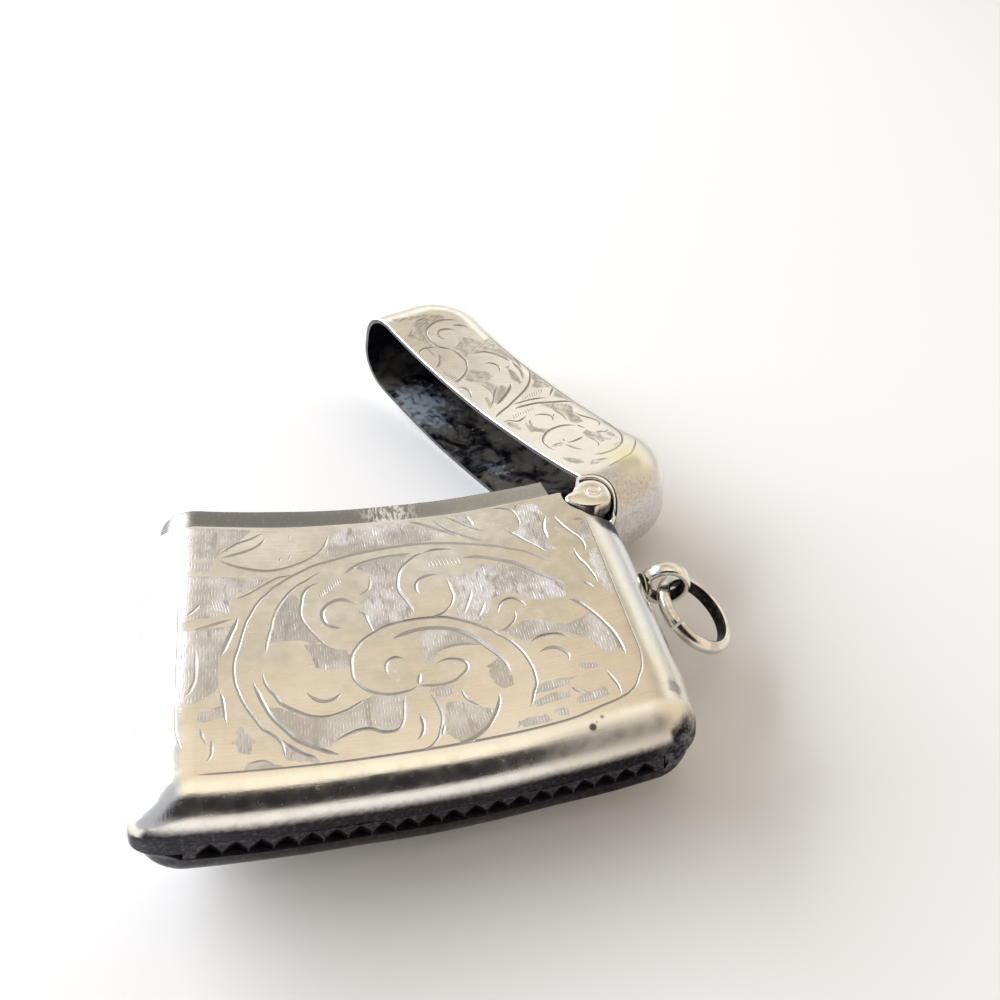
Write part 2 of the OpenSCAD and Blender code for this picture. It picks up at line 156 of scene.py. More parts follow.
# ------------------------------------------------------------------ ornament
# Scroll engraving of the two front faces: (half width, lean of the cut, line).
BODY_LINES = [
    # the broad band that sweeps round the left and over the top
    (.13, .3, [(12.2, 16.9), (11.5, 17.5), (11, 18.0), (10, 18.8), (9, 19.3), (8, 19.85), (7, 20.2), (6, 20.55), (5, 20.85), (4, 21.1), (3, 21.25), (2, 21.38), (1, 21.42), (0, 21.4), (-1, 21.35), (-2, 21.25), (-3, 21.1), (-4, 20.9), (-5, 20.6), (-6, 20.3), (-7, 19.95), (-8, 19.35), (-8.5, 19.05), (-9, 18.7), (-9.5, 18.3), (-10, 17.9), (-10.5, 17.3), (-11, 16.75), (-11.4, 16.1), (-11.7, 15.4), (-12, 14.8), (-12.2, 14.1), (-12.35, 13.5), (-12.6, 12.4), (-12.85, 11.5), (-12.95, 10.8), (-12.95, 10.2), (-12.9, 9.5), (-12.8, 9.0), (-12.5, 8), (-12.3, 7.5), (-12, 6.9), (-11.6, 6.2), (-11.2, 5.5), (-10.7, 5.1), (-10.3, 4.7), (-10, 4.2), (-9.9, 3.5), (-9.8, 3.1)]),
    (.19, -.4, [(5, 19.2), (6, 19.1), (7, 18.75), (8, 18.25), (9, 17.75), (9.5, 17.3), (10, 16.9), (11, 15.9), (11.8, 15.1), (12.4, 14.5)]),
    (.17, .3, [(12.3, 12.9), (13, 12.3), (13.5, 11.6), (14, 10.7), (14.4, 9.8), (14.7, 9.0), (14.9, 8.0), (15, 7.0), (15.05, 6.7)]),
    (.14, -.3, [(-4.7, 18.9), (-4.2, 19.3), (-3.7, 19.7), (-3, 20.05), (-2, 20.3), (-1, 20.45), (0, 20.45), (1, 20.42)]),
    (.14, -.3, [(-6.5, 19.2), (-7, 18.9), (-7.5, 18.45), (-8, 18.15), (-8.5, 17.7), (-8.8, 17.4), (-9.1, 17.0), (-9.3, 16.7), (-9.6, 16.2), (-9.85, 15.7), (-10.05, 15.1), (-10.2, 14.6), (-10.3, 14.0), (-10.5, 13.3), (-10.65, 12.6), (-10.75, 12.0), (-10.8, 11.7)]),
    # lower left lobe and its curl
    (.14, .3, [(-11.05, 10.1), (-11, 9.5), (-10.85, 9.0), (-10.6, 8.5), (-10.3, 8.1), (-10, 7.5), (-9.7, 7.2), (-9.2, 6.85), (-8.6, 6.5), (-8, 6.2), (-7.2, 6.05), (-6.5, 6.1), (-5.5, 6.4), (-4.8, 6.75), (-4.2, 7.1)]),
    (.15, -.3, [(-8.2, 8.2), (-8.0, 7.85), (-7.6, 7.5), (-7.2, 7.3), (-6.7, 7.3), (-6.2, 7.5), (-5.8, 7.9)]),
    (.18, .3, [(-11.7, 9.3), (-11.6, 8.9), (-11.4, 8.4), (-11.2, 7.8), (-11, 7.3), (-10.75, 6.7), (-10.4, 6.1), (-10, 5.6), (-9.6, 5.1), (-9.1, 4.5), (-8.5, 4.1), (-8, 3.8), (-7.5, 3.5), (-7, 3.25), (-6.4, 3.0)]),
    (.13, .3, [(-10, 4.6), (-9.5, 4.0), (-9, 3.6), (-8.5, 3.25), (-8, 3.05), (-7.8, 2.8)]),
    # leaf at the bottom
    (.14, .3, [(-6.6, 3.9), (-6.3, 4.2), (-5.6, 4.5), (-4.8, 4.7), (-4, 4.6), (-3.5, 4.3), (-3, 4.2), (-2.3, 4.3), (-1.9, 4.9), (-1.75, 5.6), (-1.65, 6.3), (-1.5, 7.0)]),
    (.13, -.3, [(0.2, 7.0), (0.5, 6.3), (0.7, 5.7), (0.8, 5.1), (0.75, 4.5), (0.5, 3.8), (0.3, 3.3), (0, 2.9), (-0.4, 2.6), (-1, 2.5)]),
    (.16, .3, [(-0.75, 5.4), (-0.65, 4.9), (-0.6, 4.4), (-0.7, 3.9), (-0.95, 3.5), (-1.2, 3.3)]),
    # central volute and the circle to its right
    (.14, .3, [(-0.5, 7.6), (-1, 7.35), (-1.5, 7.25), (-2.3, 7.2), (-3, 7.3), (-3.6, 7.55), (-4.1, 7.85), (-4.5, 8.3), (-4.8, 8.8), (-4.92, 9.4), (-4.9, 10), (-4.85, 10.6), (-4.7, 11.1), (-4.4, 11.6), (-4, 12.1), (-3.5, 12.5), (-3, 12.8), (-2.3, 13.2), (-1.5, 13.45), (-0.5, 13.6), (0.5, 13.65), (1.5, 13.6), (2.5, 13.45), (3.3, 13.1), (4, 12.7), (4.8, 12.2), (5.3, 11.8), (5.75, 11.45), (6.2, 10.9), (6.8, 10.3), (7.2, 9.7), (7.6, 8.9), (7.85, 8.1), (8, 7.3), (8, 6.5), (7.9, 5.9), (7.6, 5.4), (7.3, 4.7), (7, 4.2)]),
    (.15, -.3, [(-1.1, 10.15), (-1.6, 10.35), (-2, 10.3), (-2.3, 10.1), (-2.5, 9.7), (-2.5, 9.2), (-2.4, 8.9)]),
    (.18, 0, [(-0.15, 8.7), (-0.3, 8.2), (-0.4, 7.7)]),
    (.19, -.4, [(-1.7, 12.05), (-1, 12.35), (0, 12.6), (1, 12.65), (2, 12.5), (3, 12.15), (3.5, 11.85), (4, 11.4), (4.5, 10.9), (5, 10.2), (5.5, 9.5), (5.9, 8.9), (6.2, 8.2), (6.35, 7.4)]),
    # leaf group on the left
    (.14, .3, [(-6.6, 18.2), (-7, 18.05), (-7.5, 17.7), (-7.8, 17.25), (-7.95, 16.8), (-8.05, 16.2), (-8.15, 15.6), (-8.15, 15), (-8, 14.4), (-7.7, 13.8), (-7.3, 13.1), (-6.9, 12.5), (-6.6, 12.1), (-6.4, 11.9)]),
    (.18, .3, [(-4.0, 15.8), (-4.6, 16.2), (-5.1, 16.35), (-5.7, 16.2), (-6.2, 15.85), (-6.55, 15.3), (-6.6, 14.8), (-6.5, 14.3), (-6.2, 13.9), (-5.8, 13.65), (-5.3, 13.5)]),
    (.13, -.3, [(-2.75, 18.6), (-2.65, 18), (-2.75, 17.5), (-2.9, 17.1), (-3.2, 16.9), (-3.7, 16.6)]),
    (.13, -.3, [(-3.9, 15.0), (-3.4, 14.6), (-3.3, 14), (-3.1, 13.3), (-3.0, 12.9)]),
    # S scroll
    (.17, -.4, [(1.9, 20.35), (1.3, 20.1), (0.8, 19.75), (0.4, 19.4), (0, 19), (-0.3, 18.5), (-0.45, 18), (-0.55, 17.5), (-0.6, 17), (-0.55, 16.6), (-0.4, 16.2), (-0.2, 15.75), (0, 15.2), (0.15, 14.8), (0.25, 14.3)]),
    (.12, .3, [(1.9, 20.35), (2.5, 20.5), (3, 20.5), (3.7, 20.45), (4.3, 20.3)]),
    (.15, .3, [(2.7, 17.8), (2.2, 17.85), (1.6, 17.75), (1.1, 17.5), (0.8, 17.1), (0.75, 16.6), (0.85, 16.2), (1.1, 16.0)]),
    (.13, -.3, [(3.2, 17.5), (3.4, 16.8), (3.45, 16.2), (3.55, 15.6), (3.5, 15.2), (3.3, 14.7), (2.9, 14.2), (2.3, 13.8), (1.5, 13.7)]),
    (.09, 0, [(3.5, 17.5), (4.4, 17.0)]),
    (.16, -.3, [(5.1, 15.8), (4.8, 15.0), (4.4, 14.2), (4.0, 13.4)]),
    (.16, -.3, [(5.85, 14.3), (5.6, 13.8), (5.3, 13.3), (5.0, 12.8)]),
    # small curls on the right
    (.13, .3, [(6.6, 12.8), (6.75, 13.4), (7.1, 13.9), (7.6, 14.15), (8.1, 14.1), (8.5, 13.8), (8.8, 13.4), (8.9, 13.1)]),
    (.12, -.3, [(6.2, 11.2), (6.8, 11.3), (7.3, 11.6), (7.7, 12.0), (7.9, 12.5), (7.9, 12.9)]),
    (.15, -.3, [(8.8, 8.55), (9.2, 8.75), (9.8, 8.8), (10.3, 8.6), (10.7, 8.2), (10.9, 7.8), (10.75, 7.2)]),
    (.13, .3, [(8.3, 9.4), (8.7, 9.8), (9.3, 10), (10.1, 10.0), (10.8, 9.8), (11.4, 9.3)]),
    (.12, .3, [(13.15, 5.9), (13.35, 5.2), (13.6, 4.4), (13.65, 3.8), (13.6, 3.4)]),
    (.11, 0, [(10.3, 5.1), (10.6, 4.7), (11.0, 4.35)]),
    (.12, 0, [(2.5, 6.9), (2.6, 6.3), (2.75, 5.9), (3.1, 5.5), (3.6, 5.1)]),
    (.13, .3, [(1.1, 9.3), (1.6, 9.5), (2.1, 9.55), (2.7, 9.4), (3.2, 9.1), (3.35, 8.7), (3.2, 8.3), (2.7, 7.9), (2.2, 7.6), (1.5, 7.45), (0.7, 7.45), (0, 7.55), (-0.4, 7.6)]),
    (.13, -.3, [(1.4, 10.3), (2, 10.6), (2.7, 10.7), (3.4, 10.65), (4.2, 10.5), (4.8, 10.2)]),
    (.17, .3, [(5.1, 5.9), (5, 5.3), (4.7, 4.6), (4.3, 4.0), (3.8, 3.4), (3.2, 3.0), (2.6, 2.68), (2, 2.55), (1.3, 2.5)]),
    (.14, 0, [(0.85, 4.2), (0.7, 3.8), (0.5, 3.3)]),
    # sprays at the upper right
    (.16, -.3, [(1.2, 24.1), (2, 23.8), (3, 23.2), (3.7, 22.7), (4.3, 22.35), (5, 21.8), (5.3, 21.5)]),
    (.12, .3, [(3.1, 24.2), (3.5, 23.7), (3.9, 23.2), (4.4, 22.6), (5, 22.1), (5.5, 21.7), (6.3, 21.1), (7, 20.7)]),
    (.12, .3, [(4.3, 24.2), (5, 23.7), (5.6, 23.2), (6.2, 22.6), (6.6, 22.3), (7.4, 21.7)]),
    (.17, -.3, [(6.1, 24.2), (6.3, 23.7), (6.5, 23.1), (6.65, 22.6)]),
    (.12, .3, [(8.4, 24.2), (9.1, 24.1), (9.8, 23.8), (10.2, 23.5), (10.4, 23), (10.5, 22.4), (10.5, 22), (10.3, 21.4)]),
    (.11, 0, [(11, 24.2), (10.6, 23.8), (10.3, 23.6)]),
    (.12, .3, [(9.1, 21.8), (9.4, 21.2), (10, 20.5), (10.6, 19.7), (11.2, 19.1), (11.7, 18.4), (12, 18.1)]),
    (.17, -.3, [(12.9, 22.1), (12.65, 21.7), (12.45, 21.1), (12.35, 20.5), (12.4, 20), (12.4, 19.5)]),
    (.14, .3, [(13.6, 22.0), (13.6, 21.6), (13.8, 21), (14.1, 20.3), (14.5, 19.6), (14.9, 18.9), (15.1, 18.3), (15.1, 17.7), (14.9, 17.1)]),
    (.12, 0, [(15.0, 21.0), (15.4, 20.9), (15.7, 20.8), (15.9, 20.6)]),
    (.13, .3, [(14.2, 17.9), (14.15, 17.3), (14.3, 16.6), (14.6, 15.9), (14.8, 15.2), (14.95, 14.5), (15.05, 13.8)]),
    (.12, 0, [(13.9, 14.3), (14.3, 13.8), (14.6, 13.4)]),
    # bud at the top left
    (.14, .3, [(-13.9, 20.8), (-13.3, 20.4), (-12.7, 20.1), (-11.7, 19.8), (-10.5, 19.6), (-9.4, 19.75), (-8.4, 20.1), (-7.4, 20.6), (-6.7, 21.1), (-6.2, 21.6), (-5.8, 22.2), (-5.6, 22.8), (-5.45, 23.3)]),
    (.13, -.3, [(-13.8, 21), (-13, 21.3), (-12.2, 21.6), (-11.3, 22.1), (-10.7, 22.7), (-10.4, 23.3)]),
    (.13, .3, [(-14, 21.3), (-13.3, 21.9), (-12.5, 22.6), (-11.5, 23.1), (-10.6, 23.8)]),
    (.07, 0, [(-9.45, 20.5), (-9.35, 21)]), (.07, 0, [(-8.8, 20.6), (-8.5, 21.4)]), (.07, 0, [(-8.55, 23.6), (-8.5, 23)]),
    # left edge
    (.19, .3, [(-12.6, 15.2), (-12.75, 14.6), (-13, 13.9), (-13.3, 13.1), (-13.6, 12.2), (-13.8, 11.6)]),
    (.13, -.3, [(-8.5, 19.1), (-9.5, 18.9), (-10.3, 18.4), (-11, 17.9), (-11.8, 17.3), (-12.7, 16.85)]),
    (.12, .3, [(-12.9, 15), (-14, 14.6), (-15.8, 13.9)]),
    (.13, .3, [(-13.9, 8.8), (-13.7, 8), (-13.6, 7.2), (-13.55, 6.5), (-13.4, 6.1)]),
    (.12, 0, [(-15.1, 5.9), (-14.9, 5.1), (-14.6, 4.5)]),
    (.12, 0, [(-14.4, 5.1), (-14.35, 4.4), (-14.4, 3.8), (-14.7, 3.3)]),
    (.15, -.3, [(-15.45, 12.3), (-15.4, 11), (-15.4, 10.2), (-15.5, 9.4), (-15.8, 8.6), (-16.1, 8.4)]),
    (.15, -.3, [(-15.2, 16.4), (-15.6, 15.8), (-16.1, 15.3)]),
    (.11, 0, [(-12.3, 3), (-11.2, 3.1), (-10.5, 2.75)]),
    # border line
    (.10, 0, [(-15.3, 2.5), (-12, 2.48), (-8, 2.48), (-4, 2.46), (0, 2.46), (4, 2.46), (6, 2.47), (8, 2.5), (10, 2.58), (12, 2.95), (13, 3.1), (14, 3.35), (14.5, 3.6), (14.9, 3.9), (15.3, 4.5), (15.7, 5.1), (16.0, 6), (16.15, 7), (16.15, 10), (16.15, 13), (16.15, 16), (16.15, 19), (16.1, 20.9)]),
    (.09, 0, [(-16.6, 22.4), (-16.65, 18), (-16.6, 14), (-16.6, 10), (-16.5, 6), (-16.1, 4.4)]),
]
for k in range(10):
    f = k / 9.0
    BODY_LINES.append((.055, 0, [(-6.7 + 1.6 * f, 17.3 + 1.45 * f), (-6.55 + 1.6 * f, 16.55 + 1.45 * f)]))
for k in range(6):
    f = k / 5.0
    BODY_LINES.append((.055, 0, [(-14.5 + 1.0 * f, 16.9 - 0.3 * f), (-14.2 + 1.0 * f, 15.7 - 0.3 * f)]))
for k in range(9):
    f = k / 8.0
    BODY_LINES.append((.05, 0, [(2.0 + 2.5 * f, 19.5 - 0.15 * f), (2.2 + 2.5 * f, 18.65 - 0.1 * f)]))

BODY_GROUND = [
    [(-16.8, 24.2), (-11.2, 24.2), (-12.4, 22.9), (-13.8, 21.8), (-14.1, 20.9), (-14.6, 19.6), (-16.8, 19.6)],
    [(-16.8, 19.2), (-13.8, 19.1), (-10.4, 18.8), (-11.8, 17.6), (-13, 16.9), (-13.2, 15.6), (-14.2, 15.1), (-16.8, 14.8)],
    [(-16.8, 14), (-13.1, 14.3), (-13.5, 12.8), (-13.9, 11.3), (-13.9, 9.2), (-14.2, 8.6), (-15.6, 7.6), (-16.8, 8.2)],
    [(-15.2, 7), (-13.8, 7.5), (-13.7, 6.6), (-14.9, 6.2), (-15.4, 6.5)],
    [(-12.7, 6), (-12.2, 5.4), (-11.6, 4.6), (-12, 3.6), (-12.9, 3.9), (-13, 4.8)],
    [(-12.4, 3.1), (-11.2, 3.25), (-10.4, 2.75), (-10, 2.6), (-12.4, 2.6)],
    [(-10.1, 4.3), (-9.4, 3.7), (-8.5, 3.1), (-7.8, 2.9), (-7.7, 2.6), (-9.9, 3)],
    [(-8.8, 17.2), (-8.3, 16.9), (-8.3, 16), (-8.3, 15), (-8, 14.2), (-7.5, 13.4), (-6.9, 12.4), (-7.6, 12.3), (-8.4, 12.7), (-9.5, 12.7), (-10.4, 12.6), (-10.2, 14.2), (-9.9, 15.4), (-9.3, 16.5)],
    [(-8.3, 12.3), (-7.7, 11.4), (-7.5, 10.2), (-6.8, 9.8), (-5.3, 9.9), (-5, 10.3), (-4.95, 11), (-5.5, 11.6), (-6.4, 11.9), (-6.9, 12.2)],
    [(-10.8, 7.2), (-10, 7.1), (-9.2, 6.6), (-8.2, 6.1), (-7, 5.95), (-5.6, 6.2), (-4.6, 6.7), (-4, 7.2), (-3.5, 7.4), (-2.6, 7.1), (-1.6, 7.1), (-1.8, 5.9), (-2.1, 4.9), (-2.5, 4.3), (-3.2, 4.3), (-3.8, 4.8), (-5, 4.9), (-6.2, 4.5), (-6.8, 3.7), (-7.8, 3.7), (-8.8, 4.3), (-9.6, 5.3), (-10.3, 6.3)],
    [(-3.9, 19.6), (-3, 20), (-1.8, 20.3), (0.6, 20.3), (0.2, 19.5), (-0.5, 18.6), (-0.7, 17.4), (-0.75, 16.6), (-0.3, 15.6), (0, 14.8), (0.1, 14.1), (-0.8, 13.6), (-1.9, 13.5), (-2.9, 13.2), (-3.2, 13.6), (-3.3, 14.5), (-3.6, 15.4), (-3.3, 16.2), (-2.8, 17), (-2.5, 17.7), (-2.6, 18.5), (-3, 19)],
    [(-5.2, 20.8), (-3, 21.25), (0, 21.6), (2.5, 21.6), (4.2, 21.9), (3.6, 22.5), (2.2, 23.3), (0.8, 24), (-2, 24.1), (-4.2, 24), (-5.2, 23.2), (-5.4, 22.3), (-5.9, 21.4)],
    [(9.6, 21), (10.3, 21.2), (10.7, 22.2), (10.6, 23.3), (11.2, 24.1), (12.4, 23.6), (12.7, 22.4), (12.3, 21.3), (12.2, 20), (12.3, 18.6), (12.7, 18.2), (12, 18.2), (10.9, 19.4)],
    [(4.9, 24.2), (5.9, 24.2), (6.2, 23.2), (6.4, 22.7), (5.7, 23.3)],
    [(3.7, 17.5), (5.5, 17.4), (6.2, 18.3), (8, 17.8), (9.6, 16.9), (11, 15.7), (12.2, 14.4), (12.4, 13), (11.6, 13.2), (10, 13.4), (9.2, 13.8), (8.6, 14.5), (7.6, 14.8), (6.4, 14.4), (6.1, 13.4), (5.2, 12.4), (4.3, 12.8), (3.4, 13.4), (3.6, 14.4), (3.8, 15.5), (3.6, 16.5)],
    [(0.3, 12.4), (1.2, 12.5), (2.2, 12.3), (3.2, 11.9), (4.2, 10.9), (4.6, 10.4), (3.4, 10.8), (2.2, 10.7), (1.3, 10.1), (0.9, 9.5), (0.4, 9.6), (0.2, 10.6), (0.4, 11.4)],
    [(8.4, 11.8), (9.6, 11.6), (10.4, 11), (11.6, 10.6), (12.8, 11), (13.5, 11.3), (14.1, 10.2), (14.6, 8.8), (14.8, 7.4), (13.8, 7), (13, 8.2), (12, 9.4), (10.8, 10.1), (9.4, 10.2), (8.4, 9.9), (7.9, 9.4), (7.3, 10.3), (6.6, 11.1), (7.4, 11.4)],
    [(0.3, 7.2), (1.4, 7.3), (2.2, 7.3), (1.9, 6.5), (1.2, 6.3), (0.6, 6.5)],
    [(4.9, 8.4), (5.6, 8.8), (6.1, 8.2), (6.3, 7.2), (6.6, 6.4), (5.6, 6.1), (5, 6.6), (4.7, 7.6)],
    [(1.2, 5.9), (2.1, 5.9), (3, 5.3), (3.9, 4.9), (4.6, 4.7), (4.2, 4), (3.4, 3.3), (2.4, 2.75), (1.7, 2.6), (1.3, 2.9), (0.8, 3.6), (1, 4.6), (1.1, 5.3)],
    [(7.8, 5.9), (9.4, 6.1), (10.7, 5.8), (10.2, 5.3), (8.6, 5.15), (7.7, 5.2)],
    [(7.4, 4.6), (8.3, 4.9), (9, 5), (10.2, 4.8), (10.1, 4.3), (8.8, 4.2), (7.4, 4.1)],
    [(10.4, 4.1), (11.4, 4.4), (12.9, 4.4), (13, 3.7), (11.6, 3.5), (10.4, 3.6)],
    [(5.7, 3.1), (6.6, 3.5), (7.9, 3.5), (8.3, 2.9), (8, 2.7), (6.2, 2.75)],
    [(8.5, 3.6), (9.4, 3.6), (9.8, 3), (9.4, 2.85), (8.7, 3.1)],
    [(11.4, 6.9), (12.3, 6.7), (13.1, 6.4), (12.8, 6.1), (11.5, 6.3)],
    [(15.1, 20.4), (15.8, 20.6), (16, 19.8), (15.9, 18.6), (15.3, 18.6), (15, 19.4)],
    [(15.3, 17.3), (15.9, 17.4), (15.95, 14), (15.9, 12), (15.5, 12.6), (15.2, 14.5), (15, 16.1)],
]

LID_LINES = [
    (.10, 0, [(14, 32.7), (14.6, 32.2), (15.1, 31.6), (15.5, 31), (15.8, 30.4), (15.88, 29.5), (15.92, 28.5), (15.95, 27.4)]),
    (.09, 0, [(-10, 33.0), (-9, 33.12), (-6, 33.17), (0, 33.2), (6, 33.17), (9, 33.12), (11, 32.95)]),
    (.13, .3, [(-12.9, 31.7), (-13.3, 31.1), (-13.6, 30.5), (-13.8, 29.8), (-13.7, 29), (-13.4, 28.3), (-13.1, 27.8), (-12.6, 27.45), (-12, 27.25), (-11.4, 27.15), (-10.7, 27.2), (-10.1, 27.3), (-9.7, 27.6), (-9.3, 27.95), (-9, 28.05)]),
    (.13, -.3, [(-11.6, 30.4), (-12, 30.1), (-12.3, 29.6), (-12.4, 29.1), (-12.2, 28.65), (-11.8, 28.4), (-11.4, 28.3), (-11.05, 28.45), (-10.95, 28.65)]),
    (.12, .3, [(-12.5, 30.5), (-12.3, 31.1), (-11.9, 31.6), (-11.3, 31.9)]),
    (.07, 0, [(-10.4, 30.05), (-10, 29.8)]), (.07, 0, [(-9.9, 29.75), (-9.5, 29.55)]),
    (.13, .3, [(-9.2, 28.1), (-8.3, 28.3), (-7.2, 28.35), (-6.7, 28.3), (-6.2, 28), (-5.7, 27.75), (-5.3, 27.3), (-4.95, 26.8), (-4.7, 26.3), (-4.5, 25.6), (-4.4, 25.2)]),
    (.16, -.3, [(-9.2, 26.6), (-8.6, 26.4), (-8.1, 26.1), (-7.7, 25.7), (-7.4, 25.2), (-7.3, 25.0)]),
    (.12, .3, [(-10.1, 27.2), (-10.4, 26.6), (-10.55, 26), (-10.6, 25.6), (-10.4, 25.1), (-9.9, 24.95)]),
    (.06, 0, [(-11.1, 26.1), (-8.7, 26.05)]),
    (.12, 0, [(-13.9, 26.6), (-13.5, 26.2), (-13.2, 25.8), (-13, 25.4)]),
    (.12, 0, [(-14.7, 28.9), (-14.8, 28.2), (-14.7, 27.4)]), (.12, 0, [(-15.6, 27.2), (-15.5, 26.2), (-15.2, 25.8)]),
    (.13, .3, [(-7.4, 29.6), (-7.3, 30.3), (-7.1, 30.9), (-6.7, 31.3), (-6, 31.8), (-5, 32.1), (-4.2, 32.25)]),
    (.17, -.3, [(-4.3, 32.3), (-3.5, 32.25), (-2.7, 32.15), (-2, 31.9), (-1.5, 31.6), (-1.2, 31.3)]),
    (.12, .3, [(-5.45, 29.65), (-5.4, 30), (-5.1, 30.4), (-4.7, 30.6), (-4.2, 30.65), (-3.8, 30.4), (-3.45, 30.15)]),
    (.12, 0, [(-5, 33.05), (-4.2, 32.95), (-3.5, 32.7), (-2.8, 32.45)]),
    (.12, .3, [(-3.7, 25.0), (-3.4, 25.3), (-3, 25.55), (-2.4, 25.6), (-1.9, 25.4), (-1.5, 25.05), (-1.3, 24.95)]),
    (.17, .3, [(-1.4, 29.95), (-1, 29.7), (-0.6, 29.2), (-0.2, 28.6), (0.2, 27.9), (0.5, 27.3), (0.75, 26.8), (0.9, 26.4)]),
    (.13, -.3, [(-1.8, 28.5), (-1.3, 28.1), (-0.9, 27.6), (-0.4, 27.1), (0.1, 26.7), (0.5, 26.2), (0.7, 25.9)]),
    (.11, 0, [(-3, 27.1), (-2.4, 27.35), (-1.7, 27.4), (-1.1, 27.35), (-0.5, 27.1)]),
    (.14, .3, [(-2.7, 33.1), (-2, 32.9), (-1.4, 32.5), (-0.9, 32.1), (-0.4, 31.6), (0, 31.1), (0.3, 30.6), (0.6, 30), (0.9, 29.3), (1.2, 28.5), (1.5, 27.8), (1.8, 27.1), (2, 26.4), (2.3, 25.6), (2.6, 24.95)]),
    (.12, 0, [(1.6, 33), (2, 32.6), (2.4, 32.1), (2.8, 31.6)]),
    (.13, -.3, [(2.85, 31.2), (2.5, 30.6), (2.2, 29.9), (2, 29.2), (1.9, 28.5), (1.8, 27.8)]),
    (.17, .3, [(5, 33), (4.3, 32), (3.9, 31.3), (3.4, 30.5), (3, 29.8), (2.8, 29.2), (2.65, 28.6), (2.5, 27.9), (2.5, 27.4)]),
    (.12, .3, [(4.1, 27.6), (4.3, 27.1), (4.45, 26.5), (4.3, 26.1), (3.9, 25.8), (3.7, 25.4), (3.8, 25)]),
    (.12, .3, [(4.9, 30.2), (5.5, 30.35), (6.3, 30.4), (6.9, 30.2), (7.4, 30)]),
    (.12, -.3, [(4.65, 28.1), (4.7, 28.6), (5, 29), (5.4, 29.3), (5.9, 29.35), (6.3, 29.1), (6.5, 28.95)]),
    (.08, 0, [(5.5, 29.9), (5.9, 29.5)]), (.11, 0, [(4.9, 27.5), (5.2, 27.15), (5.6, 26.95), (6.2, 26.85)]),
    (.14, .3, [(8.5, 30.2), (8.1, 29.8), (7.7, 29.2), (7.55, 28.6), (7.5, 28), (7.6, 27.3), (7.9, 26.7), (8.3, 26.2), (8.8, 25.9), (9.4, 25.8), (10, 25.75), (10.6, 25.8)]),
    (.13, -.3, [(10.4, 29.4), (10.5, 28.9), (10.5, 28.3), (10.4, 27.8), (10.2, 27.5)]),
    (.08, 0, [(9.5, 27.7), (9.9, 27.45)]), (.11, 0, [(8.4, 30.3), (9, 30.4), (9.5, 30.5)]),
    (.12, .3, [(6.5, 31.6), (7.2, 31.7), (7.8, 31.9), (8.4, 32.2), (9, 32.35), (9.5, 32.3), (9.8, 32), (9.85, 31.7)]),
    (.13, .3, [(9.2, 32.75), (10, 32.8), (11, 32.75), (12, 32.5), (12.7, 32.2), (13.3, 31.75), (13.8, 31.2), (14.1, 30.5), (14.2, 29.8), (14.1, 29), (13.9, 28.4), (13.5, 27.9)]),
    (.12, 0, [(11, 32), (11.2, 31.5), (10.8, 31.2), (10.6, 30.7)]),
    (.12, .3, [(10.8, 29.5), (11.4, 29.7), (12, 29.75), (12.5, 29.5), (12.8, 29.15)]),
    (.12, 0, [(10.3, 27.2), (11, 27.3), (11.7, 27.5), (12.2, 27.8)]),
    (.10, 0, [(10, 27.2), (9.8, 26.7), (9.7, 26.2)]),
    (.12, .3, [(15, 28.4), (14.7, 27.9), (14.3, 27.3)]),
]
for k in range(9):
    q = 31.7 - 2.3 * k / 8.0
    LID_LINES.append((.05, 0, [(1.2, q), (1.9, q - 0.35)]))
    q = 29.0 - 2.4 * k / 8.0
    LID_LINES.append((.05, 0, [(3.2, q), (3.9, q - 0.3)]))
for k in range(9):
    f = k / 8.0
    LID_LINES.append((.05, 0, [(-6.5 + 2.0 * f, 25.6 + 0.6 * f), (-6.2 + 2.0 * f, 25.0 + 0.2 * f)]))
    LID_LINES.append((.045, 0, [(-0.7 + 1.5 * f, 26.6 - 0.5 * f), (-0.5 + 1.5 * f, 26.0 - 0.6 * f)]))

